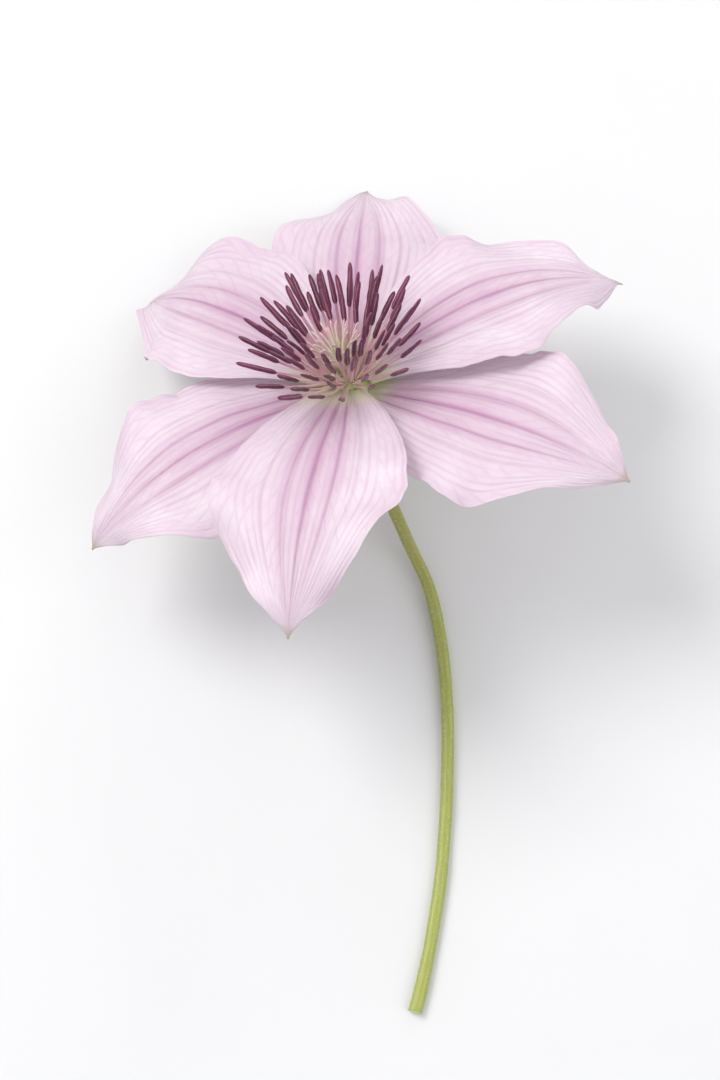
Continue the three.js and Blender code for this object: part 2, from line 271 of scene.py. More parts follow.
FRAME_SIZE = (720, 1080)
CAMERA_ELEVATION = math.radians(73)
LENS = 90
SENSOR = 36
MARGIN = 1.13  # how much more than the flower the frame takes in
NEAREST = 0.01  # what the camera sees starts here, in metres

# Place and width in metres, power in watts, and tint. All are turned towards the bloom: a soft key
# from the left, a wider and cooler fill from the right, one from behind that draws the edges, and a
# ceiling that reaches the far floor and, by way of the floor, the undersides.
LIGHTS = {
    "key_light": ((-0.40, 0.26, 0.66), 0.42, 3.95, (1.0, 0.985, 0.965)),
    "fill_light": ((0.60, -0.30, 0.60), 0.8, 2.1, (0.95, 0.97, 1.0)),
    "rim_light": ((0.35, 1.1, 0.6), 0.5, 2.2, (1.0, 0.98, 0.95)),
    "ceiling_light": ((0.0, 0.0, 2.0), 6.0, 18, (1.0, 1.0, 1.0)),
}
ROOM_TINT = (0.97, 0.98, 1.0, 1)
ROOM_BRIGHTNESS = 0.58
TABLE_REACH = 3  # from its middle to each edge, in metres


def add_camera():
    """Looks down on the flower from the stalk's side and takes it all in, upright in the frame."""
    low, high = (np.array(corner) for corner in cad_box)
    back = -heading(math.pi / 2, CAMERA_ELEVATION)
    right = np.array([1.0, 0, 0])
    up = np.cross(back, right)
    corners = np.array(list(product(*zip(low, high))))
    tall = np.ptp(corners @ up)
    wide = np.ptp(corners @ right) * FRAME_SIZE[1] / FRAME_SIZE[0]
    distance = MARGIN * max(tall, wide) / 2 / (SENSOR / 2 / LENS)
    data = bpy.data.cameras.new("camera")
    data.lens = LENS
    data.sensor_width = data.sensor_height = SENSOR
    data.clip_start = NEAREST
    camera = bpy.data.objects.new("camera", data)
    place = Vector((low + high) / 2 + back * distance)
    facing = Matrix(np.column_stack([right, up, back])).to_quaternion()
    camera.matrix_world = Matrix.LocRotScale(place, facing, None)
    bpy.context.scene.collection.objects.link(camera)
    bpy.context.scene.camera = camera


def add_studio():
    """The lights, and a bright plain room round them."""
    bloom = Vector(BLOOM_CENTRE * MM)
    for name, (place, width, power, tint) in LIGHTS.items():
        data = bpy.data.lights.new(name, "AREA")
        data.shape = "DISK"
        data.size = width
        data.energy = power
        data.color = tint
        lamp = bpy.data.objects.new(name, data)
        lamp.location = place
        lamp.rotation_euler = (bloom - Vector(place)).to_track_quat("-Z", "Y").to_euler()
        bpy.context.scene.collection.objects.link(lamp)
    world = bpy.data.worlds.new("studio")
    world.use_nodes = True
    world.node_tree.nodes["Background"].inputs["Color"].default_value = ROOM_TINT
    world.node_tree.nodes["Background"].inputs["Strength"].default_value = ROOM_BRIGHTNESS
    bpy.context.scene.world = world
    bpy.context.scene.view_settings.view_transform = "Standard"


def add_table():
    """The plain pale surface that the flower lies on."""
    corners = [(x * TABLE_REACH, y * TABLE_REACH, 0) for x, y in ((-1, -1), (1, -1), (1, 1), (-1, 1))]
    mesh = bpy.data.meshes.new("table")
    mesh.from_pydata(corners, [], [(0, 1, 2, 3)])
    mesh.materials.append(table_board())
    table = bpy.data.objects.new("table", mesh)
    bpy.context.scene.collection.objects.link(table)


# ---- Materials ----------------------------------------------------------------------------------------

# Sizes of the patterns, in mm. Those of the sepal are measured across it at its widest.
VEIN_SPACING = 1.309  # real veins lie about half as far apart, which is too fine to show
SIDE_VEIN_SPACING = 2.094
VEIN_PATCH = 3.333  # veins fade in and out by such patches
STREAK_WIDTH = 1.333  # of the colour that runs along the veins
SEPAL_CLOUD = 6.25  # paler and deeper patches of the tissue
SEPAL_GRAIN = 0.526  # the cells of the skin are a tenth of this, too fine to show
FILAMENT_STREAK = 1.11
ANTHER_MOTTLE = 0.714
ANTHER_PIMPLE = 0.154  # real ones are about 0.03, too fine to show
POLLEN_TINT = 0.4  # more than a grain, so that each has its own tint
STYLE_SILK = 0.455
STALK_STREAK = 0.714  # 0.24 across the stem and 2.9 along it, as the stem's places are drawn out
STALK_PATCH = 2.857  # likewise 0.95 across and 11 along
HAIR_SILK = 0.333
BOARD_MOTTLE = 28.6
LENGTHWISE = (1.0, 0.3, 1.0)  # makes a pattern of the sepal 3.3 times as long as it is wide
DRAWN_OUT = (1.0, 0.09, 1.0)  # and this one 11 times


def repeats(size, unit=1.0):
    """Scale of a pattern that repeats every size mm, over coordinates that count this many mm as 1."""
    return unit / size


def bands(spacing):
    """Scale of a wave texture whose bands lie spacing mm apart: it takes 20 radians to a unit."""
    return TURN / 20 / spacing


def linear(hex_colour):
    """An sRGB hex colour as the linear RGBA that a shader takes."""
    value = int(hex_colour.lstrip("#"), 16)
    parts = [((value >> shift) & 255) / 255 for shift in (16, 8, 0)]
    return (*[p / 12.92 if p <= 0.04045 else ((p + 0.055) / 1.055) ** 2.4 for p in parts], 1.0)


def add(tree, kind, settings=None, inputs=None):
    """Adds a node with its settings. Each input is set, or linked to a socket or a node's first output."""
    made = tree.nodes.new("ShaderNode" + kind)
    for name, value in (settings or {}).items():
        setattr(made, name, value)
    for key, value in (inputs or {}).items():
        if isinstance(value, bpy.types.Node):
            value = value.outputs[0]
        if isinstance(value, bpy.types.NodeSocket):
            tree.links.new(value, made.inputs[key])
        else:
            made.inputs[key].default_value = value
    return made


def new_material(name, keys=()):
    """An empty material, its nodes, and the values that its mesh holds under these keys."""
    material = bpy.data.materials.new(name)
    material.use_nodes = True
    tree = material.node_tree
    tree.nodes.clear()
    values = {key: add(tree, "Attribute", {"attribute_name": key}).outputs["Fac"] for key in keys}
    return material, tree, values


def painted(tree, base, layers):
    """base with each (mask, hex colour) laid over it in turn."""
    colour = linear(base)
    for mask, shade in layers:
        colour = add(tree, "MixRGB", None, {"Fac": mask, "Color1": colour, "Color2": linear(shade)})
    return colour


def finish_material(tree, colour, bump, settings, glow=0.0):
    """Skin with this colour and bump. glow: the share of light that passes through it."""
    shader = add(tree, "BsdfPrincipled", None, {"Base Color": colour, "Normal": bump, **settings})
    if glow:
        through = add(tree, "BsdfTranslucent", None, {"Color": colour, "Normal": bump})
        shader = add(tree, "MixShader", None, {"Fac": glow, 1: shader, 2: through})
    add(tree, "OutputMaterial", None, {"Surface": shader})


def sepal_tissue():
    """Sepal tissue, grown as a thin blade of soft wet cells under a skin without gloss. Light glows
    through it, its face looks velvety with fine parallel veins and a deeper bar down the middle, and
    its back looks silkier, with greenish cream ribs that stand out."""
    keys = ("back", "across", "bar", "glow", "hem", "foot", "flush", "rib", "tip")
    material, tree, value = new_material("sepal_tissue", keys)
    place = add(tree, "Attribute", {"attribute_name": "place"}).outputs["Vector"]
    laced = add(tree, "Attribute", {"attribute_name": "laced"}).outputs["Vector"]
    across = add(tree, "Math", {"operation": "ABSOLUTE"}, {0: value["across"]})
    lengthwise = add(tree, "VectorMath", {"operation": "MULTIPLY"}, {0: place, 1: LENGTHWISE})
    drawn_out = add(tree, "VectorMath", {"operation": "MULTIPLY"}, {0: place, 1: DRAWN_OUT})

    # the main ribs: the middle one and, ever fainter, those beside it
    from_rib = add(tree, "Math", {"operation": "PINGPONG"}, {0: across, 1: RIB_PLACE / 2})
    rib_line = add(tree, "MapRange", {"interpolation_type": "SMOOTHSTEP"}, {
        "Value": from_rib, "From Min": 0.0, "From Max": 0.035, "To Min": 1.0, "To Max": 0.0})
    rib_fade = add(tree, "MapRange", None, {
        "Value": across, "From Min": 0.0, "From Max": 0.75, "To Min": 1.0, "To Max": 0.0})
    rib_line = add(tree, "Math", {"operation": "MULTIPLY"}, {0: rib_line, 1: rib_fade})
    rib_line = add(tree, "Math", {"operation": "MULTIPLY", "use_clamp": True}, {0: rib_line, 1: value["rib"]})
    # long veins that waver a little and fade in and out
    long_veins = add(tree, "TexWave", {"wave_type": "BANDS", "bands_direction": "X"}, {
        "Vector": lengthwise, "Scale": bands(VEIN_SPACING), "Distortion": 4.5, "Detail": 2.0,
        "Detail Scale": 0.2, "Detail Roughness": 0.5})
    long_lines = add(tree, "MapRange", None, {
        "Value": long_veins.outputs["Fac"], "From Min": 0.55, "From Max": 1.0, "To Min": 0.0, "To Max": 1.0})
    patches = add(tree, "TexNoise", None, {
        "Vector": lengthwise, "Scale": repeats(VEIN_PATCH), "Detail": 2.0, "Roughness": 0.5})
    some = add(tree, "MapRange", None, {
        "Value": patches.outputs["Fac"], "From Min": 0.38, "From Max": 0.62, "To Min": 0.25, "To Max": 1.0})
    long_lines = add(tree, "Math", {"operation": "MULTIPLY"}, {0: long_lines, 1: some})
    # side veins that leave the ribs aslant towards the margin, where the long veins are faint
    side_veins = add(tree, "TexWave", {"wave_type": "BANDS", "bands_direction": "X"}, {
        "Vector": laced, "Scale": bands(SIDE_VEIN_SPACING), "Distortion": 5.0, "Detail": 3.0,
        "Detail Scale": 0.5, "Detail Roughness": 0.6})
    side_lines = add(tree, "MapRange", None, {
        "Value": side_veins.outputs["Fac"], "From Min": 0.8, "From Max": 1.0, "To Min": 0.0, "To Max": 0.6})
    fewer = add(tree, "MapRange", None, {
        "Value": patches.outputs["Fac"], "From Min": 0.6, "From Max": 0.4, "To Min": 0.0, "To Max": 1.0})
    side_lines = add(tree, "Math", {"operation": "MULTIPLY"}, {0: side_lines, 1: fewer})
    veins = add(tree, "Math", {"operation": "MAXIMUM", "use_clamp": True}, {0: long_lines, 1: side_lines})
    # colour that runs in streaks along the veins and is uneven from patch to patch
    streaks = add(tree, "TexNoise", None, {
        "Vector": drawn_out, "Scale": repeats(STREAK_WIDTH), "Detail": 4.0, "Roughness": 0.6,
        "Distortion": 0.2})
    cloud = add(tree, "TexNoise", None, {
        "Vector": place, "Scale": repeats(SEPAL_CLOUD), "Detail": 3.0, "Roughness": 0.55,
        "Distortion": 0.3})
    grain = add(tree, "TexNoise", None, {
        "Vector": place, "Scale": repeats(SEPAL_GRAIN), "Detail": 3.0, "Roughness": 0.6})

    # the face
    streaked = add(tree, "MapRange", None, {
        "Value": streaks.outputs["Fac"], "From Min": 0.32, "From Max": 0.68, "To Min": 0.3, "To Max": 1.1})
    bar = add(tree, "Math", {"operation": "MULTIPLY", "use_clamp": True}, {0: value["bar"], 1: streaked})
    glow = add(tree, "Math", {"operation": "MULTIPLY"}, {0: value["glow"], 1: 0.6})
    rib_tint = add(tree, "Math", {"operation": "MULTIPLY"}, {0: rib_line, 1: 0.55})
    vein_tint = add(tree, "Math", {"operation": "MULTIPLY"}, {0: veins, 1: 0.3})
    hem = add(tree, "Math", {"operation": "MULTIPLY", "use_clamp": True}, {0: value["hem"], 1: streaked})
    hem = add(tree, "Math", {"operation": "MULTIPLY"}, {0: hem, 1: 0.2})
    pale = add(tree, "MapRange", None, {
        "Value": cloud.outputs["Fac"], "From Min": 0.42, "From Max": 0.72, "To Min": 0.0, "To Max": 0.6})
    face = painted(tree, "#EADAE5", [
        (pale, "#F6EFF4"), (value["flush"], "#E3CFDF"), (glow, "#DCBCD3"), (hem, "#DEC0D6"),
        (vein_tint, "#C9A3C4"), (bar, "#C488B8"), (rib_tint, "#B477A4"), (value["foot"], "#EBEACF"),
        (value["tip"], "#C9B99A")])

    # the back
    back_rib = add(tree, "Math", {"operation": "MULTIPLY", "use_clamp": True}, {0: rib_line, 1: 0.8})
    back_veins = add(tree, "Math", {"operation": "MULTIPLY"}, {0: veins, 1: 0.25})
    back_bar = add(tree, "Math", {"operation": "MULTIPLY"}, {0: value["glow"], 1: 0.95})
    back = painted(tree, "#F2E7EF", [
        (hem, "#DDBBD5"), (back_veins, "#D6BAD1"), (back_bar, "#E7E6C6"), (back_rib, "#AEB574"),
        (value["foot"], "#BEC58A"), (value["tip"], "#B7B98A")])
    colour = add(tree, "MixRGB", None, {"Fac": value["back"], "Color1": face, "Color2": back})

    # ribs and veins are sunk in the face and stand out on the back; the grain is the skin's cells
    relief_side = add(tree, "MapRange", None, {
        "Value": value["back"], "From Min": 0.0, "From Max": 1.0, "To Min": -1.0, "To Max": 1.0})
    lines = add(tree, "Math", {"operation": "MULTIPLY_ADD"}, {0: rib_line, 1: 1.6, 2: veins})
    line_height = add(tree, "Math", {"operation": "MULTIPLY"}, {0: lines, 1: relief_side})
    height = add(tree, "Math", {"operation": "MULTIPLY_ADD"}, {
        0: grain.outputs["Fac"], 1: 0.5, 2: line_height})
    bump = add(tree, "Bump", None, {"Height": height, "Strength": 0.6, "Distance": 0.12 * MM})
    finish_material(tree, colour, bump, {
        "Roughness": 0.5, "IOR": 1.42, "Specular IOR Level": 0.4, "Sheen Weight": 0.2,
        "Sheen Roughness": 0.4}, glow=0.26)
    return material


def filament_tissue():
    """Filament tissue, grown as a thin ribbon under a faintly waxy skin: it has a soft gloss and some
    depth, and goes from green at its foot through cream to pink at the anther."""
    material, tree, value = new_material("filament_tissue", ("along",))
    where = add(tree, "TexCoord").outputs["Object"]
    streak = add(tree, "TexNoise", None, {
        "Vector": where, "Scale": repeats(FILAMENT_STREAK, METRE), "Detail": 2.0, "Roughness": 0.5})
    flush = add(tree, "Math", {"operation": "MULTIPLY_ADD", "use_clamp": True}, {
        0: streak.outputs["Fac"], 1: 0.35, 2: value["along"]})
    foot = add(tree, "MapRange", None, {
        "Value": value["along"], "From Min": 0.08, "From Max": -0.25, "To Min": 0.0, "To Max": 0.85})
    colour = painted(tree, "#F0E6CF", [(flush, "#D9A5BE"), (foot, "#BFC788")])
    bump = add(tree, "Bump", None, {"Height": streak.outputs["Fac"], "Strength": 0.3, "Distance": 0.05 * MM})
    finish_material(tree, colour, bump, {
        "Roughness": 0.42, "IOR": 1.42, "Subsurface Weight": 0.25, "Subsurface Radius": (1.0, 0.7, 0.6),
        "Subsurface Scale": 0.5 * MM})
    return material


def anther_tissue():
    """Anther wall, a dry skin that has shrunk on its two pollen sacs: matt, finely pimpled dark maroon,
    no two of quite the same red, and paler along the seam where the sacs open."""
    material, tree, value = new_material("anther_tissue", ("seam", "own"))
    where = add(tree, "TexCoord").outputs["Object"]
    mottle = add(tree, "TexNoise", None, {
        "Vector": where, "Scale": repeats(ANTHER_MOTTLE, METRE), "Detail": 3.0, "Roughness": 0.6})
    pimples = add(tree, "TexVoronoi", {"feature": "SMOOTH_F1"}, {
        "Vector": where, "Scale": repeats(ANTHER_PIMPLE, METRE)})
    tint = add(tree, "MapRange", None, {
        "Value": mottle.outputs["Fac"], "From Min": 0.35, "From Max": 0.7, "To Min": 0.0, "To Max": 0.6})
    colour = painted(tree, "#4F1A37", [
        (value["own"], "#722B52"), (tint, "#86405F"), (value["seam"], "#B07F8C")])
    bump = add(tree, "Bump", None, {
        "Height": pimples.outputs["Distance"], "Strength": 0.7, "Distance": 0.06 * MM})
    finish_material(tree, colour, bump, {
        "Roughness": 0.62, "IOR": 1.45, "Sheen Weight": 0.2, "Sheen Roughness": 0.5})
    return material


def pollen_dust():
    """Pollen, shed as dry grains: dull cream specks. They are drawn larger than life so that they show."""
    material, tree, _ = new_material("pollen_dust")
    where = add(tree, "TexCoord").outputs["Object"]
    mottle = add(tree, "TexNoise", None, {
        "Vector": where, "Scale": repeats(POLLEN_TINT, METRE), "Detail": 1.0})
    colour = painted(tree, "#EFE3B4", [(mottle.outputs["Fac"], "#D9C27E")])
    bump = add(tree, "Bump", None, {"Height": mottle.outputs["Fac"], "Strength": 0.3, "Distance": 0.02 * MM})
    finish_material(tree, colour, bump, {"Roughness": 0.85, "IOR": 1.45})
    return material


def style_tissue():
    """Style tissue, grown as a thread under a silky skin: pale with a soft sheen, greenish at its root
    and flushed pink at its tip."""
    material, tree, value = new_material("style_tissue", ("along",))
    where = add(tree, "TexCoord").outputs["Object"]
    silk = add(tree, "TexNoise", None, {
        "Vector": where, "Scale": repeats(STYLE_SILK, METRE), "Detail": 2.0})
    root = add(tree, "MapRange", None, {
        "Value": value["along"], "From Min": 0.35, "From Max": 0.0, "To Min": 0.0, "To Max": 0.85})
    tip = add(tree, "MapRange", None, {
        "Value": value["along"], "From Min": 0.62, "From Max": 1.0, "To Min": 0.0, "To Max": 0.8})
    colour = painted(tree, "#EFE6D2", [(root, "#B8BC7E"), (tip, "#CFA0B4")])
    bump = add(tree, "Bump", None, {"Height": silk.outputs["Fac"], "Strength": 0.35, "Distance": 0.04 * MM})
    finish_material(tree, colour, bump, {
        "Roughness": 0.4, "IOR": 1.45, "Sheen Weight": 0.4, "Sheen Roughness": 0.35,
        "Subsurface Weight": 0.2, "Subsurface Radius": (1.0, 0.8, 0.6), "Subsurface Scale": 0.4 * MM})
    return material


def stalk_skin():
    """Rind of a young stalk, grown smooth over fine ribs: yellowish green with a low gloss, streaked
    along its length and flushed purple where the sun caught it. Where a knife cut it, the moist tissue
    is paler, with a ring of greener fibres."""
    material, tree, value = new_material("stalk_skin", ("rib", "flush", "cut", "ring"))
    place = add(tree, "Attribute", {"attribute_name": "place"}).outputs["Vector"]
    streaks = add(tree, "TexNoise", None, {
        "Vector": place, "Scale": repeats(STALK_STREAK), "Detail": 3.0, "Roughness": 0.6})
    patches = add(tree, "TexNoise", None, {
        "Vector": place, "Scale": repeats(STALK_PATCH), "Detail": 2.0, "Roughness": 0.5})
    light = add(tree, "MapRange", None, {
        "Value": streaks.outputs["Fac"], "From Min": 0.4, "From Max": 0.7, "To Min": 0.0, "To Max": 0.55})
    flushed = add(tree, "Math", {"operation": "MULTIPLY", "use_clamp": True}, {
        0: value["flush"], 1: patches.outputs["Fac"]})
    groove = add(tree, "Math", {"operation": "MULTIPLY"}, {0: value["rib"], 1: 0.45})
    colour = painted(tree, "#A4AE50", [
        (light, "#C6CB7C"), (groove, "#8A9842"), (flushed, "#94635A"), (value["cut"], "#DFE3B2"),
        (value["ring"], "#AEBD7C")])
    bump = add(tree, "Bump", None, {
        "Height": streaks.outputs["Fac"], "Strength": 0.45, "Distance": 0.08 * MM})
    finish_material(tree, colour, bump, {
        "Roughness": 0.48, "IOR": 1.45, "Sheen Weight": 0.15, "Sheen Roughness": 0.5,
        "Subsurface Weight": 0.12, "Subsurface Radius": (0.7, 1.0, 0.4), "Subsurface Scale": 0.5 * MM})
    return material


def down_hair():
    """Plant hair, grown as a clear smooth thread: pale and rather glossy, so that it catches the light
    along the edge of what it grows on."""
    material, tree, value = new_material("down_hair", ("along",))
    colour = painted(tree, "#D6D9B4", [(value["along"], "#F4F2E6")])
    where = add(tree, "TexCoord").outputs["Object"]
    silk = add(tree, "TexNoise", None, {"Vector": where, "Scale": repeats(HAIR_SILK, METRE)})
    bump = add(tree, "Bump", None, {"Height": silk.outputs["Fac"], "Strength": 0.2, "Distance": 0.02 * MM})
    finish_material(tree, colour, bump, {
        "Roughness": 0.35, "IOR": 1.5, "Sheen Weight": 0.3, "Sheen Roughness": 0.3})
    return material


def table_board():
    """Painted board, rolled with matt paint: pale, plain and very faintly mottled."""
    material, tree, _ = new_material("table_board")
    where = add(tree, "TexCoord").outputs["Object"]
    mottle = add(tree, "TexNoise", None, {
        "Vector": where, "Scale": repeats(BOARD_MOTTLE, METRE), "Detail": 4.0})
    tint = add(tree, "MapRange", None, {
        "Value": mottle.outputs["Fac"], "From Min": 0.3, "From Max": 0.7, "To Min": 0.0, "To Max": 0.35})
    colour = painted(tree, "#DEDEDF", [(tint, "#DADADB")])
    bump = add(tree, "Bump", None, {"Height": mottle.outputs["Fac"], "Strength": 0.05, "Distance": 0.1 * MM})
    finish_material(tree, colour, bump, {"Roughness": 0.7, "IOR": 1.45})
    return material


# ---- Sepals -------------------------------------------------------------------------------------------
# s is the place along a sepal, from its foot at 0 to its tip at 1, as a column of numbers. t is the
# place across it, from -1 at one margin to 1 at the other, as a row of numbers.

SEPAL_SEED = 100
ROWS = 168
COLUMNS = 101
MIDDLE_STEPS = 720  # of the sum that gives a sepal's middle line
THICKNESS = 0.36
FOOT_THICKNESS = 0.8
FOOT_END = 0.25
HEM_THICKNESS = 0.12
HEM_SHARPNESS = 14  # the greater, the closer to the margin the blade thins out
TIP_START = 0.97

# Where the part looks for the lowest point of a resting sepal, and how often it halves the search.
PROBED_ROWS = 19
PROBED_COLUMNS = [-1, -0.82, -0.6, -0.38, -0.24, -0.1, 0, 0.1, 0.24, 0.38, 0.6, 0.82, 1]
HALVINGS = 30

# Unevenness of thin living tissue. Heights, and the lengths of its waves, are in mm; counts are over
# the whole length of the sepal or over its half width. hem says how closely it keeps to the margin, or
# for the quilting how far from it it stays.
UNEVEN_PART = (0.02, 0.2, 0.93, 1)
CRINKLE = dict(height=0.22, waves=9, lengths=(5, 12), in_middle=0.4)
FOLDS = dict(height=0.05, waves=7, lengths=(2.2, 4.0), across=1.6, along=0.35)
RAGGED = dict(share=0.012, waves=6, lengths=(2.0, 6.0), sides_apart=50, hem=3)
QUILT = dict(height=0.035, count=8.5, uneven=0.25, waves=5, lengths=(8, 20), hem=6, loss=0.6)
CRIMP = dict(height=0.28, count=8.5, uneven=1.3, changes=2.1, sides_apart=2.2, hem=7, start=0.3, full=0.5)

# Markings of the face, which the material's colours follow.
BAR = dict(middle=0.85, middle_width=0.085, side=0.6, side_width=0.09, start=0.02, full=0.12)
GLOW = dict(width=0.42, narrowing=0.12, start=0.02, full=0.1)
BAR_AT_TIP = 0.1
GLOW_AT_TIP = 0.2
MORE_AT_FOOT = 0.8  # how much stronger both are at the foot
FADING = (0.2, 1)  # from where to where the bar and the glow fade
HEM = (0.72, 1.0)
FOOT = (0.03, 0.14)
DRY_TIP = dict(strength=0.7, start=0.95, full=1.0)
FLUSH = dict(strength=0.45, waves=5, lengths=(18, 40), low=0.3, high=0.8)
RIBBED_PART = (0, 0.1, 0.6, 1)
PATTERN_STEP = 40  # moves each sepal to its own part of the patterns
SIDE_VEINS = dict(slant=0.62, start=60, sides_apart=9)  # how they lean out, and what parts the two halves


def half_width(s):
    """Half the sepal's width, in mm."""
    rising = FOOT_WIDTH + (1 - FOOT_WIDTH) * np.sin(np.pi / 2 * np.clip(s / WIDEST, 0, 1)) ** SWELL
    beyond = np.clip((s - WIDEST) / (1 - WIDEST), 0, 1)
    narrowing = np.maximum((1 - beyond**SHOULDER) ** POINT, TIP_WIDTH)
    return SEPAL_WIDTH / 2 * np.where(s < WIDEST, rising, narrowing)


def slope_at(habit, s):
    """How steeply the sepal's middle line climbs, in radians."""
    bend = RESTING_BEND if habit["rests"] else BEND
    return np.radians(habit["rise"] + (habit["curl"] - habit["rise"]) * s**bend)


def middle_line(habit, s):
    """Distance of the sepal's middle line from the bloom's axis, and its height along the axis."""
    steps = np.linspace(0, 1, MIDDLE_STEPS + 1)
    slopes = slope_at(habit, (steps[1:] + steps[:-1]) / 2)
    step = SEPAL_LENGTH * habit["stretch"] / MIDDLE_STEPS
    foot = OUTER_FOOT + (WHORL_STEP if habit["inner"] else 0)
    out = SEPAL_FOOT + step * np.concatenate([[0], np.cumsum(np.cos(slopes))])
    up = foot + step * np.concatenate([[0], np.cumsum(np.sin(slopes))])
    return np.interp(s, steps, out), np.interp(s, steps, up)


def relief(habit, s, t):
    """Height of the face over the sepal's plane: channelled foot, cup, waved margin, three grooves."""
    across = t * half_width(s)
    curve = habit["cup"] + FOOT_CHANNEL * (1 - smooth(s, 0, CHANNEL_END))
    phase = np.where(t < 0, *habit["waves"])
    wave = span(s, WAVED_PART) * np.abs(t) ** WAVE_HEM * np.sin(TURN * WAVE_COUNT * s + phase)
    grooves = bell(t, GROOVE_WIDTH) + bell(np.abs(t) - RIB_PLACE, GROOVE_WIDTH)
    return curve * across**2 / 2 + WAVE_HEIGHT * wave - GROOVE_DEPTH * span(s, GROOVED_PART) * grooves


def sepal_surface(habit, s, t, wider=1.0, higher=0.0):
    """The sepal's middle surface and the way up from it, in the part's frame. wider and higher are
    what the unevenness of the tissue changes."""
    out, up = middle_line(habit, s)
    slope = slope_at(habit, s)
    twist = math.radians(habit["twist"]) * s * s
    level = np.stack([-np.sin(slope) * np.sin(twist), np.cos(twist), np.cos(slope) * np.sin(twist)], -1)
    along = np.stack([np.cos(slope), 0 * slope, np.sin(slope)], -1)
    lift = np.cross(along, level)
    sway = math.tan(math.radians(habit["sway"])) * s * s * SEPAL_LENGTH
    wide = t * half_width(s) * wider
    high = relief(habit, s, t) + higher
    points = np.stack([out, sway, up], -1) + level * wide[..., None] + lift * high[..., None]
    spin = np.array(Matrix.Rotation(habit["bearing"], 3, "Z"))
    return in_bloom(points @ spin.T), np.broadcast_to(lift @ spin.T @ LEANING.T, points.shape)


def settled(habit):
    """The habit with the curl that lets its tip rest on the table."""
    s = np.linspace(0, 1, PROBED_ROWS)[:, None]
    t = np.array([PROBED_COLUMNS])
    down, up = CURL_SEARCH
    for _ in range(HALVINGS):
        habit = {**habit, "curl": (down + up) / 2}
        points, lift = sepal_surface(habit, s, t)
        if (points - SOLID_THICKNESS / 2 * lift)[..., 2].min() < -TIP_SINK:
            down = habit["curl"]
        else:
            up = habit["curl"]
    return habit


def own_habits():
    """Each sepal's habit, with its bearing, its whorl and whether it stands on the table."""
    found = []
    for i, given in enumerate(HABITS):
        bearing = LEAN_TOWARDS + math.radians(SEPAL_ANGLE * (i - 0.5) + given["turn"])
        habit = {**given, "inner": i % 2 == 1, "bearing": bearing, "rests": given["curl"] is None}
        found.append(settled(habit) if habit["rests"] else habit)
    return found


def tissue_unevenness(rng, s, t, x, y):
    """What makes a blade look alive: a factor for its width and a height in mm, over its plain shape."""
    margin = np.abs(t)
    body = span(s, UNEVEN_PART)
    crinkle = ripples(rng, x, y, CRINKLE["waves"], CRINKLE["lengths"])
    folds = ripples(rng, x * FOLDS["across"], y * FOLDS["along"], FOLDS["waves"], FOLDS["lengths"])
    ragged = ripples(rng, np.sign(x) * RAGGED["sides_apart"], y, RAGGED["waves"], RAGGED["lengths"])
    strain = QUILT["uneven"] * ripples(rng, x, y, QUILT["waves"], QUILT["lengths"])
    quilt = np.cos(TURN * (QUILT["count"] * t + strain))
    bunching = CRIMP["uneven"] * np.sin(TURN * CRIMP["changes"] * s)
    phase = rng.uniform(0, TURN) + CRIMP["sides_apart"] * (t > 0)
    crimp = smooth(s, CRIMP["start"], CRIMP["full"]) * np.sin(TURN * CRIMP["count"] * s + bunching + phase)

    wider = 1 + RAGGED["share"] * body * ragged * margin ** RAGGED["hem"]
    crinkled = CRINKLE["in_middle"] + (1 - CRINKLE["in_middle"]) * margin
    higher = CRINKLE["height"] * crinkle * crinkled + FOLDS["height"] * folds
    higher = higher + QUILT["height"] * quilt * (1 - QUILT["loss"] * margin ** QUILT["hem"])
    higher = higher + CRIMP["height"] * crimp * margin ** CRIMP["hem"]
    return wider, body * higher


def markings(rng, index, s, t, x, y):
    """What the tissue's colours and bump follow, at each point of the face and then of the back."""
    margin = np.abs(t)
    fading = MORE_AT_FOOT * (1 - smooth(s, *FADING))
    bars = BAR["middle"] * bell(t, BAR["middle_width"])
    bars = bars + BAR["side"] * bell(margin - RIB_PLACE, BAR["side_width"])
    glow = bell(margin, GLOW["width"] - GLOW["narrowing"] * s)
    flush = 0.5 + 0.5 * ripples(rng, x, y, FLUSH["waves"], FLUSH["lengths"])
    fields = {
        "bar": bars * smooth(s, BAR["start"], BAR["full"]) * (BAR_AT_TIP + fading),
        "glow": glow * smooth(s, GLOW["start"], GLOW["full"]) * (GLOW_AT_TIP + fading),
        "hem": smooth(margin, *HEM),
        "foot": 1 - smooth(s, *FOOT),
        "flush": FLUSH["strength"] * smooth(flush, FLUSH["low"], FLUSH["high"]),
        "rib": span(s, RIBBED_PART),
        "across": t,
        "tip": DRY_TIP["strength"] * smooth(s, DRY_TIP["start"], DRY_TIP["full"]),
    }
    values = {key: np.tile((field + 0 * x).ravel(), 2) for key, field in fields.items()}
    values["back"] = np.repeat([0.0, 1.0], x.size)
    aslant = np.abs(x) - SIDE_VEINS["slant"] * y + SIDE_VEINS["start"]
    places = {
        "place": [x + PATTERN_STEP * index, y, 0 * x],
        "laced": [aslant, y, 0 * x + SIDE_VEINS["sides_apart"] * (t > 0)],
    }
    for key, place in places.items():
        values[key] = np.tile(np.stack(place, -1).reshape(-1, 3), (2, 1))
    return values


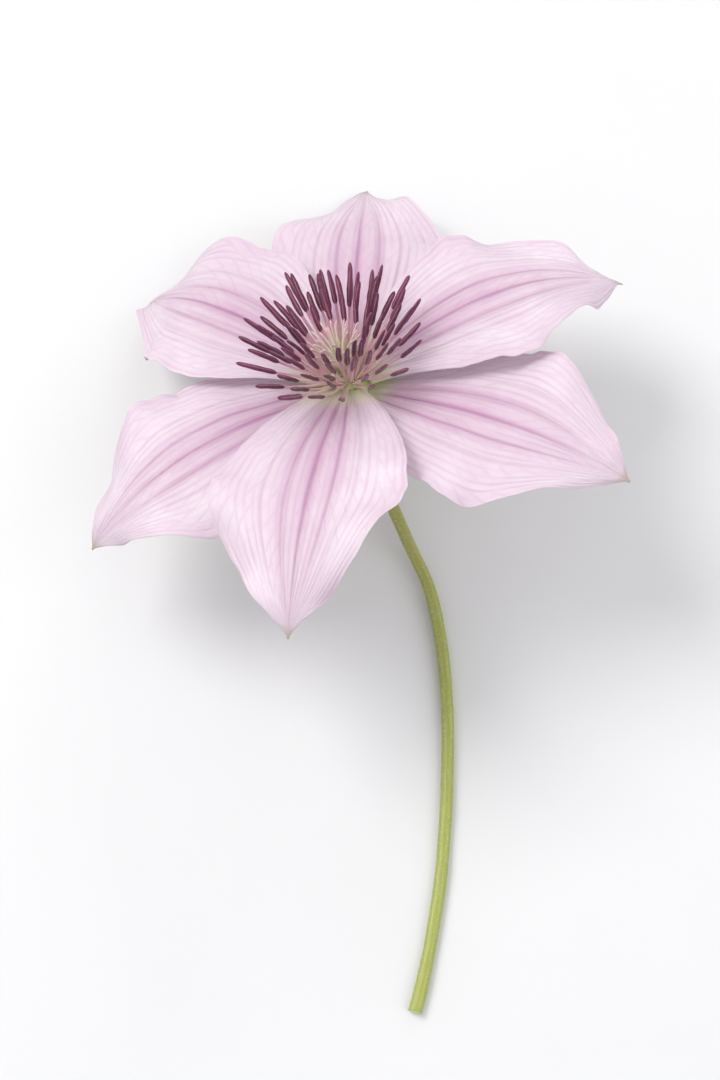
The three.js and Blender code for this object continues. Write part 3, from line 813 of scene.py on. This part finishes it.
def blade_faces(rows, columns):
    """A face over a grid of points, its back over a second grid, and the rim between them."""
    grid = np.arange(rows * columns).reshape(rows, columns)
    face = np.stack([grid[:-1, :-1], grid[1:, :-1], grid[1:, 1:], grid[:-1, 1:]], -1).reshape(-1, 4)
    back = face[:, ::-1] + grid.size
    rim = np.concatenate([grid[:-1, 0], grid[-1, :-1], grid[:0:-1, -1], grid[0, :0:-1]])
    after = np.roll(rim, -1)
    edge = np.stack([rim + grid.size, after + grid.size, after, rim], -1)
    return np.concatenate([face, back, edge]).tolist()


def sepal(index, habit, material):
    """One sepal with its waved and lightly crimped margin, its ribs and the crinkle of thin tissue."""
    rng = np.random.default_rng(SEPAL_SEED + index)
    s = np.linspace(0, 1, ROWS)[:, None]
    t = np.sin(np.pi / 2 * np.linspace(-1, 1, COLUMNS))[None, :]
    x, y = np.broadcast_arrays(t * SEPAL_WIDTH / 2, s * SEPAL_LENGTH)
    wider, higher = tissue_unevenness(rng, s, t, x, y)
    middle, lift = sepal_surface(habit, s, t, wider, higher)
    thick = FOOT_THICKNESS + (THICKNESS - FOOT_THICKNESS) * smooth(s, 0, FOOT_END)
    thinning = np.maximum(np.abs(t) ** HEM_SHARPNESS, smooth(s, TIP_START, 1))
    thick = thick - (thick - HEM_THICKNESS) * thinning
    if habit["rests"]:
        middle[..., 2] = np.maximum(middle[..., 2], TABLE_GAP + thick / 2)
    half = (thick / 2)[..., None] * lift
    points = above_table(np.concatenate([(middle + half).reshape(-1, 3), (middle - half).reshape(-1, 3)]))
    values = markings(rng, index, s, t, x, y)
    name = f"sepal_{index + 1}"
    piece(f"{name}_blade", points, blade_faces(ROWS, COLUMNS), material, [name], values)


# ---- Stamens ------------------------------------------------------------------------------------------

CROWN_SEED = 21
FEWER_BETWEEN = 3  # stamens than in the ring outside them
START_BETWEEN = 0.25
JITTER_BETWEEN = dict(turn=7, slope=5, length=0.07)

FILAMENT_FOOT = [(-0.3, 1.3), (-0.2, 0.85), (-0.1, 0.4)]  # share, and depth under the root inside the core
FILAMENT = dict(rows=15, sides=8, half_width=0.34, narrowing=0.13, flatness=0.5, turn=0.5)
FILAMENT_START = 0.02
FILAMENT_OVERLAP = 0.1  # share of a stamen's length that it runs on into the anther

ANTHER = dict(rows=34, sides=20, half_width=0.47, half_depth=0.38, blunt=5, taper=0.2, tip=0.1, square=0.85)
ANTHER_FULL = 1.04  # how full it is at its foot, less the taper at its tip
ANTHER_FOOT = (-0.01, 0.07)  # how far its foot may lie from where the filament ends
ANTHER_BOW = dict(sideways=(-0.5, 0.5), outwards=(-0.1, 0.5))
ANTHER_LUMPS = dict(height=0.05, count=2.3)
ANTHER_TURN = (-0.5, 0.5)
ANTHER_TWIST = (-0.7, 0.7)
SEAM = dict(depth=0.6, width=0.34, tint=0.75, tint_width=0.2, fade=0.8)
ANTHER_TINTS = (0, 0.8)

POLLEN = dict(count=900, radii=(0.03, 0.075), stray=0.03, uneven=0.25, seam=0.3)


def sprout(bearing, root, height, length, slopes):
    """Three points of a curve in the upright plane at a bearing, from its root to its tip."""
    start = heading(bearing) * root + np.array([0, 0, height])
    middle = start + heading(bearing, -slopes[0]) * length / 2
    return np.array([start, middle, middle + heading(bearing, -slopes[1]) * length / 2])


def quadratic(points, u):
    """Places along the curve that three points steer."""
    u = np.asarray(u)[:, None]
    return (1 - u) ** 2 * points[0] + 2 * u * (1 - u) * points[1] + u**2 * points[2]


def rod(path, offsets):
    """A closed tube along a path, by rings of [sideways, outwards] offsets from its points."""
    side = unit(np.cross([0, 0, 1.0], path[-1] - path[0]))
    front = unit(np.cross(unit(np.gradient(path, axis=0)), side))
    return tube(path[:, None] + offsets[..., :1] * side + offsets[..., 1:] * front[:, None])


def oval(wide, deep, angles):
    """Rings of offsets, from half widths and half depths along a path."""
    return np.stack([wide[:, None] * np.cos(angles), deep[:, None] * np.sin(angles)], -1)


def turned(offsets, angles):
    """Rings of offsets, each turned by its own angle."""
    cos, sin = np.cos(angles)[:, None], np.sin(angles)[:, None]
    wide, deep = offsets[..., 0], offsets[..., 1]
    return np.stack([wide * cos - deep * sin, wide * sin + deep * cos], -1)


def ring_of_stamens(ring, jitter, draw):
    """The curves of one ring of stamens."""
    curves = []
    for i in range(ring["count"]):
        bearing = TURN * (i + ring["start"]) / ring["count"] + math.radians(jitter["turn"] * next(draw))
        change = jitter["slope"] * next(draw)
        slopes = [math.radians(slope + change) for slope in ring["slopes"]]
        length = ring["length"] * (1 + jitter["length"] * next(draw))
        curves.append(sprout(bearing, ring["root"], STAMEN_ROOT_HEIGHT, length, slopes))
    return curves


def stamen_curves():
    """Each stamen's curve, by the part's own draws, then more of them in between."""
    draw = draws(STAMEN_SEED)
    curves = []
    for ring in STAMEN_RINGS:
        curves += ring_of_stamens(ring, STAMEN_JITTER, draw)
    for outer, inner in zip(STAMEN_RINGS, STAMEN_RINGS[1:]):
        between = {key: (np.array(outer[key]) + inner[key]) / 2 for key in ("root", "length", "slopes")}
        between |= dict(count=outer["count"] - FEWER_BETWEEN, start=START_BETWEEN)
        curves += ring_of_stamens(between, JITTER_BETWEEN, draw)
    return curves


def filament(curve, rng):
    """A flat ribbon that rises from the side of the core, bends out and narrows to the anther."""
    buried, depths = np.array(FILAMENT_FOOT).T
    share = np.concatenate([buried, np.linspace(0, 1, FILAMENT["rows"])])
    path = quadratic(curve, np.clip(share + FILAMENT_START, 0, 1) * (1 - ANTHER_SHARE + FILAMENT_OVERLAP))
    path[:len(depths), 2] -= depths
    half = FILAMENT["half_width"] - FILAMENT["narrowing"] * np.abs(share)
    offsets = oval(half, FILAMENT["flatness"] * half, all_round(FILAMENT["sides"]))
    turn = rng.uniform(-FILAMENT["turn"], FILAMENT["turn"])
    points, faces = rod(path, turned(offsets, turn * np.maximum(share, 0)))
    return in_bloom(points), faces, {"along": np.repeat(share, FILAMENT["sides"])}


def anther(curve, rng):
    """Two long pollen sacs side by side, parted by a seam on both faces, with a short blunt tip."""
    share = 0.5 - 0.5 * np.cos(np.linspace(0, np.pi, ANTHER["rows"]))
    foot = 1 - ANTHER_SHARE + rng.uniform(*ANTHER_FOOT)
    path = quadratic(curve, foot + (1 - foot) * share)
    sideways = unit(np.cross(curve[2] - curve[1], [0, 0, 1]))
    outwards = unit(curve[1] * [1, 1, 0])
    path = path + np.outer(rng.uniform(*ANTHER_BOW["sideways"]) * share**2, sideways)
    path = path + np.outer(rng.uniform(*ANTHER_BOW["outwards"]) * share**3, outwards)

    swell = (1 - np.abs(2 * share - 1) ** ANTHER["blunt"]) ** 0.5 * (ANTHER_FULL - ANTHER["taper"] * share)
    lumps = np.sin(TURN * ANTHER_LUMPS["count"] * share + rng.uniform(0, TURN))
    swell = np.maximum(swell, ANTHER["tip"]) * (1 + ANTHER_LUMPS["height"] * lumps)
    angle = all_round(ANTHER["sides"])
    squared = np.sign(np.cos(angle)) * np.abs(np.cos(angle)) ** ANTHER["square"]
    pinched = np.sin(angle) * (1 - SEAM["depth"] * bell(np.cos(angle), SEAM["width"]))
    wide = ANTHER["half_width"] * swell[:, None] * squared
    deep = ANTHER["half_depth"] * swell[:, None] * pinched
    turn = rng.uniform(*ANTHER_TURN) + rng.uniform(*ANTHER_TWIST) * share
    points, faces = rod(path, turned(np.stack([wide, deep], -1), turn))

    seam_end = 1 - smooth(share, SEAM["fade"], 1)
    seam = SEAM["tint"] * bell(np.cos(angle), SEAM["tint_width"]) * seam_end[:, None]
    own = np.full(len(points), rng.uniform(*ANTHER_TINTS))
    return in_bloom(points), faces, {"seam": seam.ravel(), "own": own}


def grains(places, radii, rng):
    """Small rough balls at places: octahedra, each made uneven."""
    corners = np.array([[1, 0, 0], [-1, 0, 0], [0, 1, 0], [0, -1, 0], [0, 0, 1], [0, 0, -1]], float)
    faces = [[0, 2, 4], [2, 1, 4], [1, 3, 4], [3, 0, 4], [2, 0, 5], [1, 2, 5], [3, 1, 5], [0, 3, 5]]
    parts = []
    for place, radius in zip(places, radii):
        stretch = 1 + rng.uniform(-POLLEN["uneven"], POLLEN["uneven"], (len(corners), 1))
        parts.append((place + corners * stretch * radius, faces, {}))
    return joined(parts)


def add_stamens():
    """Filaments and anthers, and the pollen that clings along the seams of the sacs."""
    rng = np.random.default_rng(CROWN_SEED)
    curves = stamen_curves()
    points, faces, values = joined([filament(curve, rng) for curve in curves])
    piece("filaments", points, faces, filament_tissue(), ["stamens"], values)
    points, faces, values = joined([anther(curve, rng) for curve in curves])
    piece("anthers", points, faces, anther_tissue(), ["stamens"], values)
    dusted = [i for i in rng.permutation(len(points)) if values["seam"][i] > POLLEN["seam"]][:POLLEN["count"]]
    places = points[dusted] + rng.normal(0, POLLEN["stray"], (len(dusted), 3))
    points, faces, _ = grains(places, rng.uniform(*POLLEN["radii"], len(dusted)), rng)
    piece("pollen", points, faces, pollen_dust())


# ---- Styles and carpels -------------------------------------------------------------------------------

TUFT_SEED = 33
STYLES_BETWEEN = dict(count=16, start=0.9, turn=GOLDEN_ANGLE / 2 + 1, root=1.1, length=7.6, shorter=0.1,
                      uneven=0.08, lean=15, stray=4, nod=8)
STYLE = dict(rows=26, sides=8, half_width=0.27, narrowing=0.13)
STYLE_CURL = 0.9  # how far its tip curls away from the others
STYLE_WAVER = 0.12
STIGMA = dict(place=0.94, width=0.06, swell=0.35, end=0.985, blunt=0.4)
NEAR_AXIS = 0.2  # a style closer to the bloom's axis than this curls less

CARPEL = dict(count=46, rows=9, sides=12, half_width=0.30, half_depth=0.24, sunk=0.25, stray=0.02)
CARPEL_SWELL = dict(start=0.05, length=0.94, fullness=0.7)
CARPEL_TINT = 0.04  # that of a style near its root
HEAD = dict(height=1.9, reach=(1.25, 1.25, 1.2), spread=1.25)

STYLE_HAIRS = dict(count=16, start=0.05, end=0.62, out=0.2)
STYLE_HAIR_LEAN = (0.9, 0.45)  # along the style and away from it


def tuft(kind, draw):
    """The curves of a tuft of styles, the longest and the most upright in its middle."""
    curves = []
    for i in range(kind["count"]):
        share = math.sqrt((i + kind["start"]) / STYLES["count"])
        slope = 90 - kind["lean"] * share + kind["stray"] * next(draw)
        length = kind["length"] * (1 - kind["shorter"] * share + kind["uneven"] * next(draw))
        slopes = [math.radians(slope), math.radians(slope - kind["nod"] - STYLE_NOD * share)]
        bearing = i * GOLDEN_ANGLE + kind["turn"]
        curves.append(sprout(bearing, kind["root"] * share, STYLE_ROOT_HEIGHT, length, slopes))
    return curves


def style_curves():
    """Each style's curve, by the part's own draws, then more of them in between."""
    draw = draws(STYLE_SEED)
    return tuft(STYLES, draw) + tuft(STYLES_BETWEEN, draw)


def style(curve, rng):
    """A slender thread that narrows, then ends in a slightly swollen stigma that curls outwards."""
    share = np.linspace(0, 1, STYLE["rows"])
    away = curve[2] * [1, 1, 0]
    away = away / max(np.linalg.norm(away), NEAR_AXIS)
    waver = STYLE_WAVER * np.sin(TURN * share)
    path = quadratic(curve, share) + np.outer(STYLE_CURL * share**5, away)
    path = path + np.outer(waver, rng.normal(0, 1, 3) * [1, 1, 0])
    swell = 1 + STIGMA["swell"] * bell(share - STIGMA["place"], STIGMA["width"])
    blunt = np.where(share > STIGMA["end"], STIGMA["blunt"], 1)
    half = (STYLE["half_width"] - STYLE["narrowing"] * share) * swell * blunt
    points, faces = rod(path, oval(half, half, all_round(STYLE["sides"])))
    return in_bloom(points), faces, {"along": np.repeat(share, STYLE["sides"])}


def carpels(rng):
    """The head of small seed-like carpels that the styles grow from."""
    parts = []
    share = np.linspace(0, 1, CARPEL["rows"])
    along = np.clip(share * CARPEL_SWELL["length"] + CARPEL_SWELL["start"], 0, 1)
    swell = np.sin(np.pi * along) ** CARPEL_SWELL["fullness"]
    offsets = oval(CARPEL["half_width"] * swell, CARPEL["half_depth"] * swell, all_round(CARPEL["sides"]))
    for i in range(CARPEL["count"]):
        tilt = HEAD["spread"] * math.sqrt((i + 0.5) / CARPEL["count"])
        way = heading(i * GOLDEN_ANGLE, tilt - math.pi / 2)
        base = np.array([0, 0, HEAD["height"]]) + way * HEAD["reach"]
        path = base + np.outer(share - CARPEL["sunk"], way) + rng.normal(0, CARPEL["stray"], 3)
        points, faces = rod(path, offsets)
        parts.append((in_bloom(points), faces, {"along": np.full(len(points), CARPEL_TINT)}))
    return parts


def style_hairs(curves, rng):
    """Roots and ways of the silky hairs along the lower half of each style."""
    roots, ways = [], []
    lengthwise, sideways = STYLE_HAIR_LEAN
    for curve in curves:
        at = rng.uniform(STYLE_HAIRS["start"], STYLE_HAIRS["end"], STYLE_HAIRS["count"])
        along = unit(curve[2] - curve[0])
        off = rng.normal(0, 1, (STYLE_HAIRS["count"], 3))
        off = unit(off - np.outer(off @ along, along))
        roots.append(in_bloom(quadratic(curve, at) + STYLE_HAIRS["out"] * off))
        ways.append((lengthwise * along + sideways * off) @ LEANING.T)
    return np.concatenate(roots), np.concatenate(ways)


def add_pistil():
    """Styles and carpels. Gives back the roots and ways of the silky hairs on the styles."""
    rng = np.random.default_rng(TUFT_SEED)
    curves = style_curves()
    points, faces, values = joined([style(curve, rng) for curve in curves] + carpels(rng))
    piece("styles", points, faces, style_tissue(), ["pistil"], values)
    return style_hairs(curves, rng)


# ---- Stalk --------------------------------------------------------------------------------------------

STALK_SEED = 5
ROUTE_STEPS = 800
STEM_ROWS = 560
STEM_SIDES = 48
CUT_SWELLING = 0.1  # share of its length over which the cut end's swelling fades
NECK_START = 0.75

# The stem wavers sideways and swells a little, over waves of these lengths.
WAVER = dict(width=0.1, waves=6, lengths=(9, 30), part=(0.03, 0.1, 0.8, 0.92))
SWELLING = dict(share=0.02, waves=5, lengths=(4, 14), fade=(0.85, 0.95))

# Ribs round the stem, with lesser ones as (strength, count, phase). Heights are shares of its radius.
RIBS = 6
LESSER_RIBS = [(0.35, 2 * RIBS, 0.6), (0.25, 5, 1.1)]
RIB_HEIGHT = 0.026
RIB_HEIGHT_LOST = 0.016  # towards the bloom
RIB_LOSS = (0.85, 1)
RIB_SINK = 0.02

# The upper side of the stem is flushed, more so towards the bloom, but not the flare.
FLUSHED = dict(side=0.3, upwards=0.5, least=0.2, more=0.6, rise=(0.4, 0.9), lost=0.9, fade=(0.955, 0.99))
SKIN_ROUND = 3  # places on the skin run this many mm for each mm of the stem's radius
SKIN_ALONG = 0.25  # and this many for each mm of its length, so that its pattern is drawn out

# Rings of the cut end, as (share of its radius, how far it stands out, how moist it is, how fibrous).
CUT_END = [
    (0.975, 0.03, 0.2, 0), (0.92, 0.02, 0.45, 0), (0.84, 0.0, 0.7, 0.7), (0.76, 0.03, 0.85, 1.0),
    (0.67, 0.05, 1, 0.6), (0.58, 0.04, 1, 0), (0.4, -0.02, 1, 0), (0.25, -0.1, 1, 0),
    (0.12, -0.13, 1, 0),
]
BUNDLES = (0.55, 0.45)  # how fibrous the ring is between its bundles, and how much more so in them
CUT_FINENESS = 2  # and on the cut end this many for each mm, which makes its streaks 0.36 mm wide

CORE_SIDES = 60
INNER_SEPALS = 3
CORE_RIB = 0.3
CORE_PALE = [(0.3, -1.0, 0.4), (0.25, 0.4, 1.2)]  # how much paler, between which two heights

STEM_HAIRS = dict(count=3400, start=0.01, crowding=0.75, top_rows=14, out=0.8, along=0.5, stray=0.15)
CLEAR_OF_TABLE = 0.25  # hairs grow above this height


def cubic(points, u):
    """Places along the curve that four points steer."""
    u = u[:, None]
    a, b, c, d = (np.asarray(p, float) for p in points)
    return (1 - u) ** 3 * a + 3 * u * (1 - u) ** 2 * b + 3 * u * u * (1 - u) * c + u**3 * d


def stalk_route(count):
    """Points evenly along the stem's middle line, from the cut end to the top of its flare."""
    rest = STALK_RADIUS - STALK_SINK
    away = LEAN_TOWARDS + math.pi
    top = BLOOM_CENTRE + BLOOM_AXIS * STEM_TOP
    steep = math.pi / 2 - LEAN
    landing_height = rest + LANDING_LIFT
    radius = (top[2] - landing_height) / (math.cos(LANDING_SLOPE) - math.cos(steep))
    travel = radius * (math.sin(steep) - math.sin(LANDING_SLOPE))
    pull = 4 / 3 * math.tan((steep - LANDING_SLOPE) / 4) * radius
    landing = top + heading(away) * travel
    landing[2] = landing_height
    end = np.array([BLOOM_CENTRE[0] + END[0], BLOOM_CENTRE[1] + END[1], rest])
    down = heading(away, LANDING_SLOPE)
    u = np.linspace(0, 1, ROUTE_STEPS)
    touching = landing + down * LANDING_LIFT / math.sin(LANDING_SLOPE)
    run = cubic([end, end - heading(END_HEADING) * END_PULL, touching, landing], u)
    bend = cubic([landing, landing - down * pull, top - BLOOM_AXIS * pull, top], u)
    flare_top = BLOOM_CENTRE + BLOOM_AXIS * FLARE[-1][1]
    line = np.concatenate([run, bend[1:], [flare_top]])
    length = np.concatenate([[0], np.cumsum(np.linalg.norm(np.diff(line, axis=0), axis=1))])
    at = np.linspace(0, length[-1], count)
    return np.stack([np.interp(at, length, line[:, i]) for i in range(3)], -1), at


def carried_rings(path, radii, angles):
    """Rings carried along a path without twist, the way out at each of their points, and the path's way."""
    tangents = unit(np.gradient(path, axis=0))
    across = np.cross(tangents[0], [0, 0, 1.0])
    rings, outs = [], []
    for place, tangent, radius in zip(path, tangents, radii):
        across = unit(across - tangent * (across @ tangent))
        out = np.outer(np.cos(angles), across) + np.outer(np.sin(angles), np.cross(tangent, across))
        rings.append(place + out * radius[:, None])
        outs.append(out)
    return np.array(rings), np.array(outs), tangents


def stalk_radii(at):
    """Radius along the stem, with its swollen cut end and its flare under the bloom."""
    flare_radii, flare_heights = np.array(FLARE).T
    flare = np.interp(at, at[-1] + flare_heights - flare_heights[-1], flare_radii)
    share = at / at[-1]
    cut = CUT_RADIUS + (STALK_RADIUS - CUT_RADIUS) * share / CUT_SWELLING
    rest = STALK_RADIUS + (NECK_RADIUS - STALK_RADIUS) * smooth(share, NECK_START, 1)
    return np.maximum(np.where(share < CUT_SWELLING, cut, rest), flare)


def cut_end(rim, centre, along, angles):
    """Rings of the cut face from its pith out to its rim, rounder towards the pith, and their values."""
    spokes = rim - centre
    reach = np.linalg.norm(spokes, axis=1)[:, None]
    fibrous = BUNDLES[0] + BUNDLES[1] * np.cos(2 * RIBS * angles)
    rings, moisture, fibres = [], [], []
    for scale, out, moist, bundled in reversed(CUT_END):
        rounder = 1 - (1 - scale) * (1 - reach.mean() / reach)
        rings.append(centre + spokes * scale * rounder - along * out)
        moisture.append(np.full(len(angles), float(moist)))
        fibres.append(fibrous * bundled)
    rings = above_table(np.array(rings))
    none = np.zeros(rings.shape[:2])
    values = {
        "rib": none,
        "flush": none,
        "cut": np.array(moisture),
        "ring": np.array(fibres),
        "place": rings * CUT_FINENESS,
    }
    return rings, values


def stem(rng):
    """The ribbed stem with its moist cut end, and the roots and ways of its down."""
    path, at = stalk_route(STEM_ROWS)
    angles = all_round(STEM_SIDES)
    share = (at / at[-1])[:, None]
    waver = ripples(rng, at, 0 * at, WAVER["waves"], WAVER["lengths"])[:, None] * span(share, WAVER["part"])
    path = path + [WAVER["width"], 0, 0] * waver
    swelling = ripples(rng, at, 0 * at, SWELLING["waves"], SWELLING["lengths"])[:, None]
    swelling = 1 + SWELLING["share"] * swelling * (1 - smooth(share, *SWELLING["fade"]))
    ribs = np.cos(RIBS * angles) + sum(power * np.cos(n * angles + phase) for power, n, phase in LESSER_RIBS)
    ribs = ribs * (RIB_HEIGHT - RIB_HEIGHT_LOST * smooth(share, *RIB_LOSS)) - RIB_SINK
    radii = stalk_radii(at)[:, None] * swelling * (1 + ribs)
    rings, outs, tangents = carried_rings(path, radii, angles)
    rings = above_table(rings)

    flush = np.clip(FLUSHED["side"] + FLUSHED["upwards"] * outs[..., 2], 0, 1)
    flush = flush * (FLUSHED["least"] + FLUSHED["more"] * smooth(share, *FLUSHED["rise"]))
    flush = flush * (1 - FLUSHED["lost"] * smooth(share, *FLUSHED["fade"]))
    none = np.zeros(rings.shape[:2])
    place = [SKIN_ROUND * np.cos(angles), SKIN_ROUND * np.sin(angles), SKIN_ALONG * at[:, None]]
    values = {
        "rib": 0.5 - 0.5 * np.cos(RIBS * angles) + none,
        "flush": flush,
        "cut": none,
        "ring": none,
        "place": np.stack([axis + none for axis in place], -1),
    }
    face, face_values = cut_end(rings[0], path[0], tangents[0], angles)
    points, faces = tube(np.concatenate([face, rings]))
    values = {key: np.concatenate([face_values[key], values[key]]) for key in values}
    values = {key: numbers.reshape(len(points), *numbers.shape[2:]) for key, numbers in values.items()}
    return (points, faces, values), stem_hairs(rng, rings, outs, tangents)


def stem_hairs(rng, rings, outs, tangents):
    """Roots and ways of the short down on the stem, thicker towards the bloom."""
    count = STEM_HAIRS["count"]
    last = len(rings) - STEM_HAIRS["top_rows"]
    rows = last * rng.uniform(STEM_HAIRS["start"], 1, count) ** STEM_HAIRS["crowding"]
    low = rows.astype(int)
    columns = rng.integers(STEM_SIDES, size=count)
    below, above = rings[low, columns], rings[low + 1, columns]
    roots = below + (above - below) * (rows - low)[:, None]
    ways = STEM_HAIRS["out"] * outs[low, columns] + STEM_HAIRS["along"] * tangents[low]
    ways = ways + rng.normal(0, STEM_HAIRS["stray"], (count, 3))
    clear = roots[:, 2] > CLEAR_OF_TABLE
    return roots[clear], ways[clear]


def core():
    """The head inside the ring of sepals that the stamens grow from, turned about the bloom's axis."""
    around = all_round(CORE_SIDES)
    out, up, further = (column[:, None] for column in np.array(CORE).T)
    under_inner = 0.5 + 0.5 * np.cos(INNER_SEPALS * (around - LEAN_TOWARDS) - math.pi / 2)
    out = out * (1 + further * under_inner**2)
    points, faces = tube(np.stack([out * np.cos(around), out * np.sin(around), up + 0 * around], -1))
    pale = sum(share * smooth(points[:, 2], low, high) for share, low, high in CORE_PALE)
    none = np.zeros(len(points))
    values = {"rib": none + CORE_RIB, "flush": none, "cut": pale, "ring": none, "place": points}
    return in_bloom(points), faces, values


def add_stalk():
    """Stem and core in one skin. Gives back the roots and ways of its down."""
    made, hairs = stem(np.random.default_rng(STALK_SEED))
    points, faces, values = joined([made, core()])
    piece("stalk_skin", points, faces, stalk_skin(), ["stalk"], values)
    return hairs


# ---- Down ---------------------------------------------------------------------------------------------

DOWN_SEED = 9
# Real hairs are about half as thick, too thin to show.
SILKY_HAIR = dict(lengths=(0.7, 1.4), radius=0.03)
SHORT_HAIR = dict(lengths=(0.25, 0.55), radius=0.022)
DROOP = 0.25  # how far a tip strays, as a share of the hair's length
NEARLY_UPRIGHT = 0.8
HAIR_SIDES = 3
HAIR_RINGS = [(0, 1.0), (0.5, 0.7)]  # place along the hair, and share of its radius
HAIR_FACES = [[0, 2, 1], [0, 1, 4, 3], [1, 2, 5, 4], [2, 0, 3, 5], [3, 4, 6], [4, 5, 6], [5, 3, 6]]


def add_down(name, hairs, kind, material, rng):
    """Fine hairs, each a three-sided spike that bends a little towards its tip."""
    roots, ways = hairs
    ways = unit(ways)
    lengths = rng.uniform(*kind["lengths"], len(roots))[:, None]
    droop = rng.normal(0, DROOP, (len(roots), 3))
    helper = np.where(np.abs(ways[:, 2:]) < NEARLY_UPRIGHT, [[0, 0, 1.0]], [[1.0, 0, 0]])
    side = unit(np.cross(ways, helper))
    other = np.cross(ways, side)
    corners = []
    for share, wide in HAIR_RINGS:
        middle = roots + (ways * share + droop * share**2) * lengths
        for angle in all_round(HAIR_SIDES):
            out = side * math.cos(angle) + other * math.sin(angle)
            corners.append(middle + out * kind["radius"] * wide)
    corners.append(roots + (ways + droop) * lengths)
    points = above_table(np.stack(corners, 1)).reshape(-1, 3)
    faces = [[i + k for i in face] for k in range(0, len(points), len(corners)) for face in HAIR_FACES]
    shares = [share for share, _ in HAIR_RINGS for _ in range(HAIR_SIDES)] + [1.0]
    piece(name, points, faces, material, (), {"along": np.tile(shares, len(roots))})


# ---- The whole flower ---------------------------------------------------------------------------------

add_camera()
add_studio()
add_table()

tissue = sepal_tissue()
for number, sepal_habit in enumerate(own_habits()):
    sepal(number, sepal_habit, tissue)
add_stamens()
silk = add_pistil()
down = add_stalk()

hair = down_hair()
hair_rng = np.random.default_rng(DOWN_SEED)
add_down("style_silk", silk, SILKY_HAIR, hair, hair_rng)
add_down("stalk_down", down, SHORT_HAIR, hair, hair_rng)
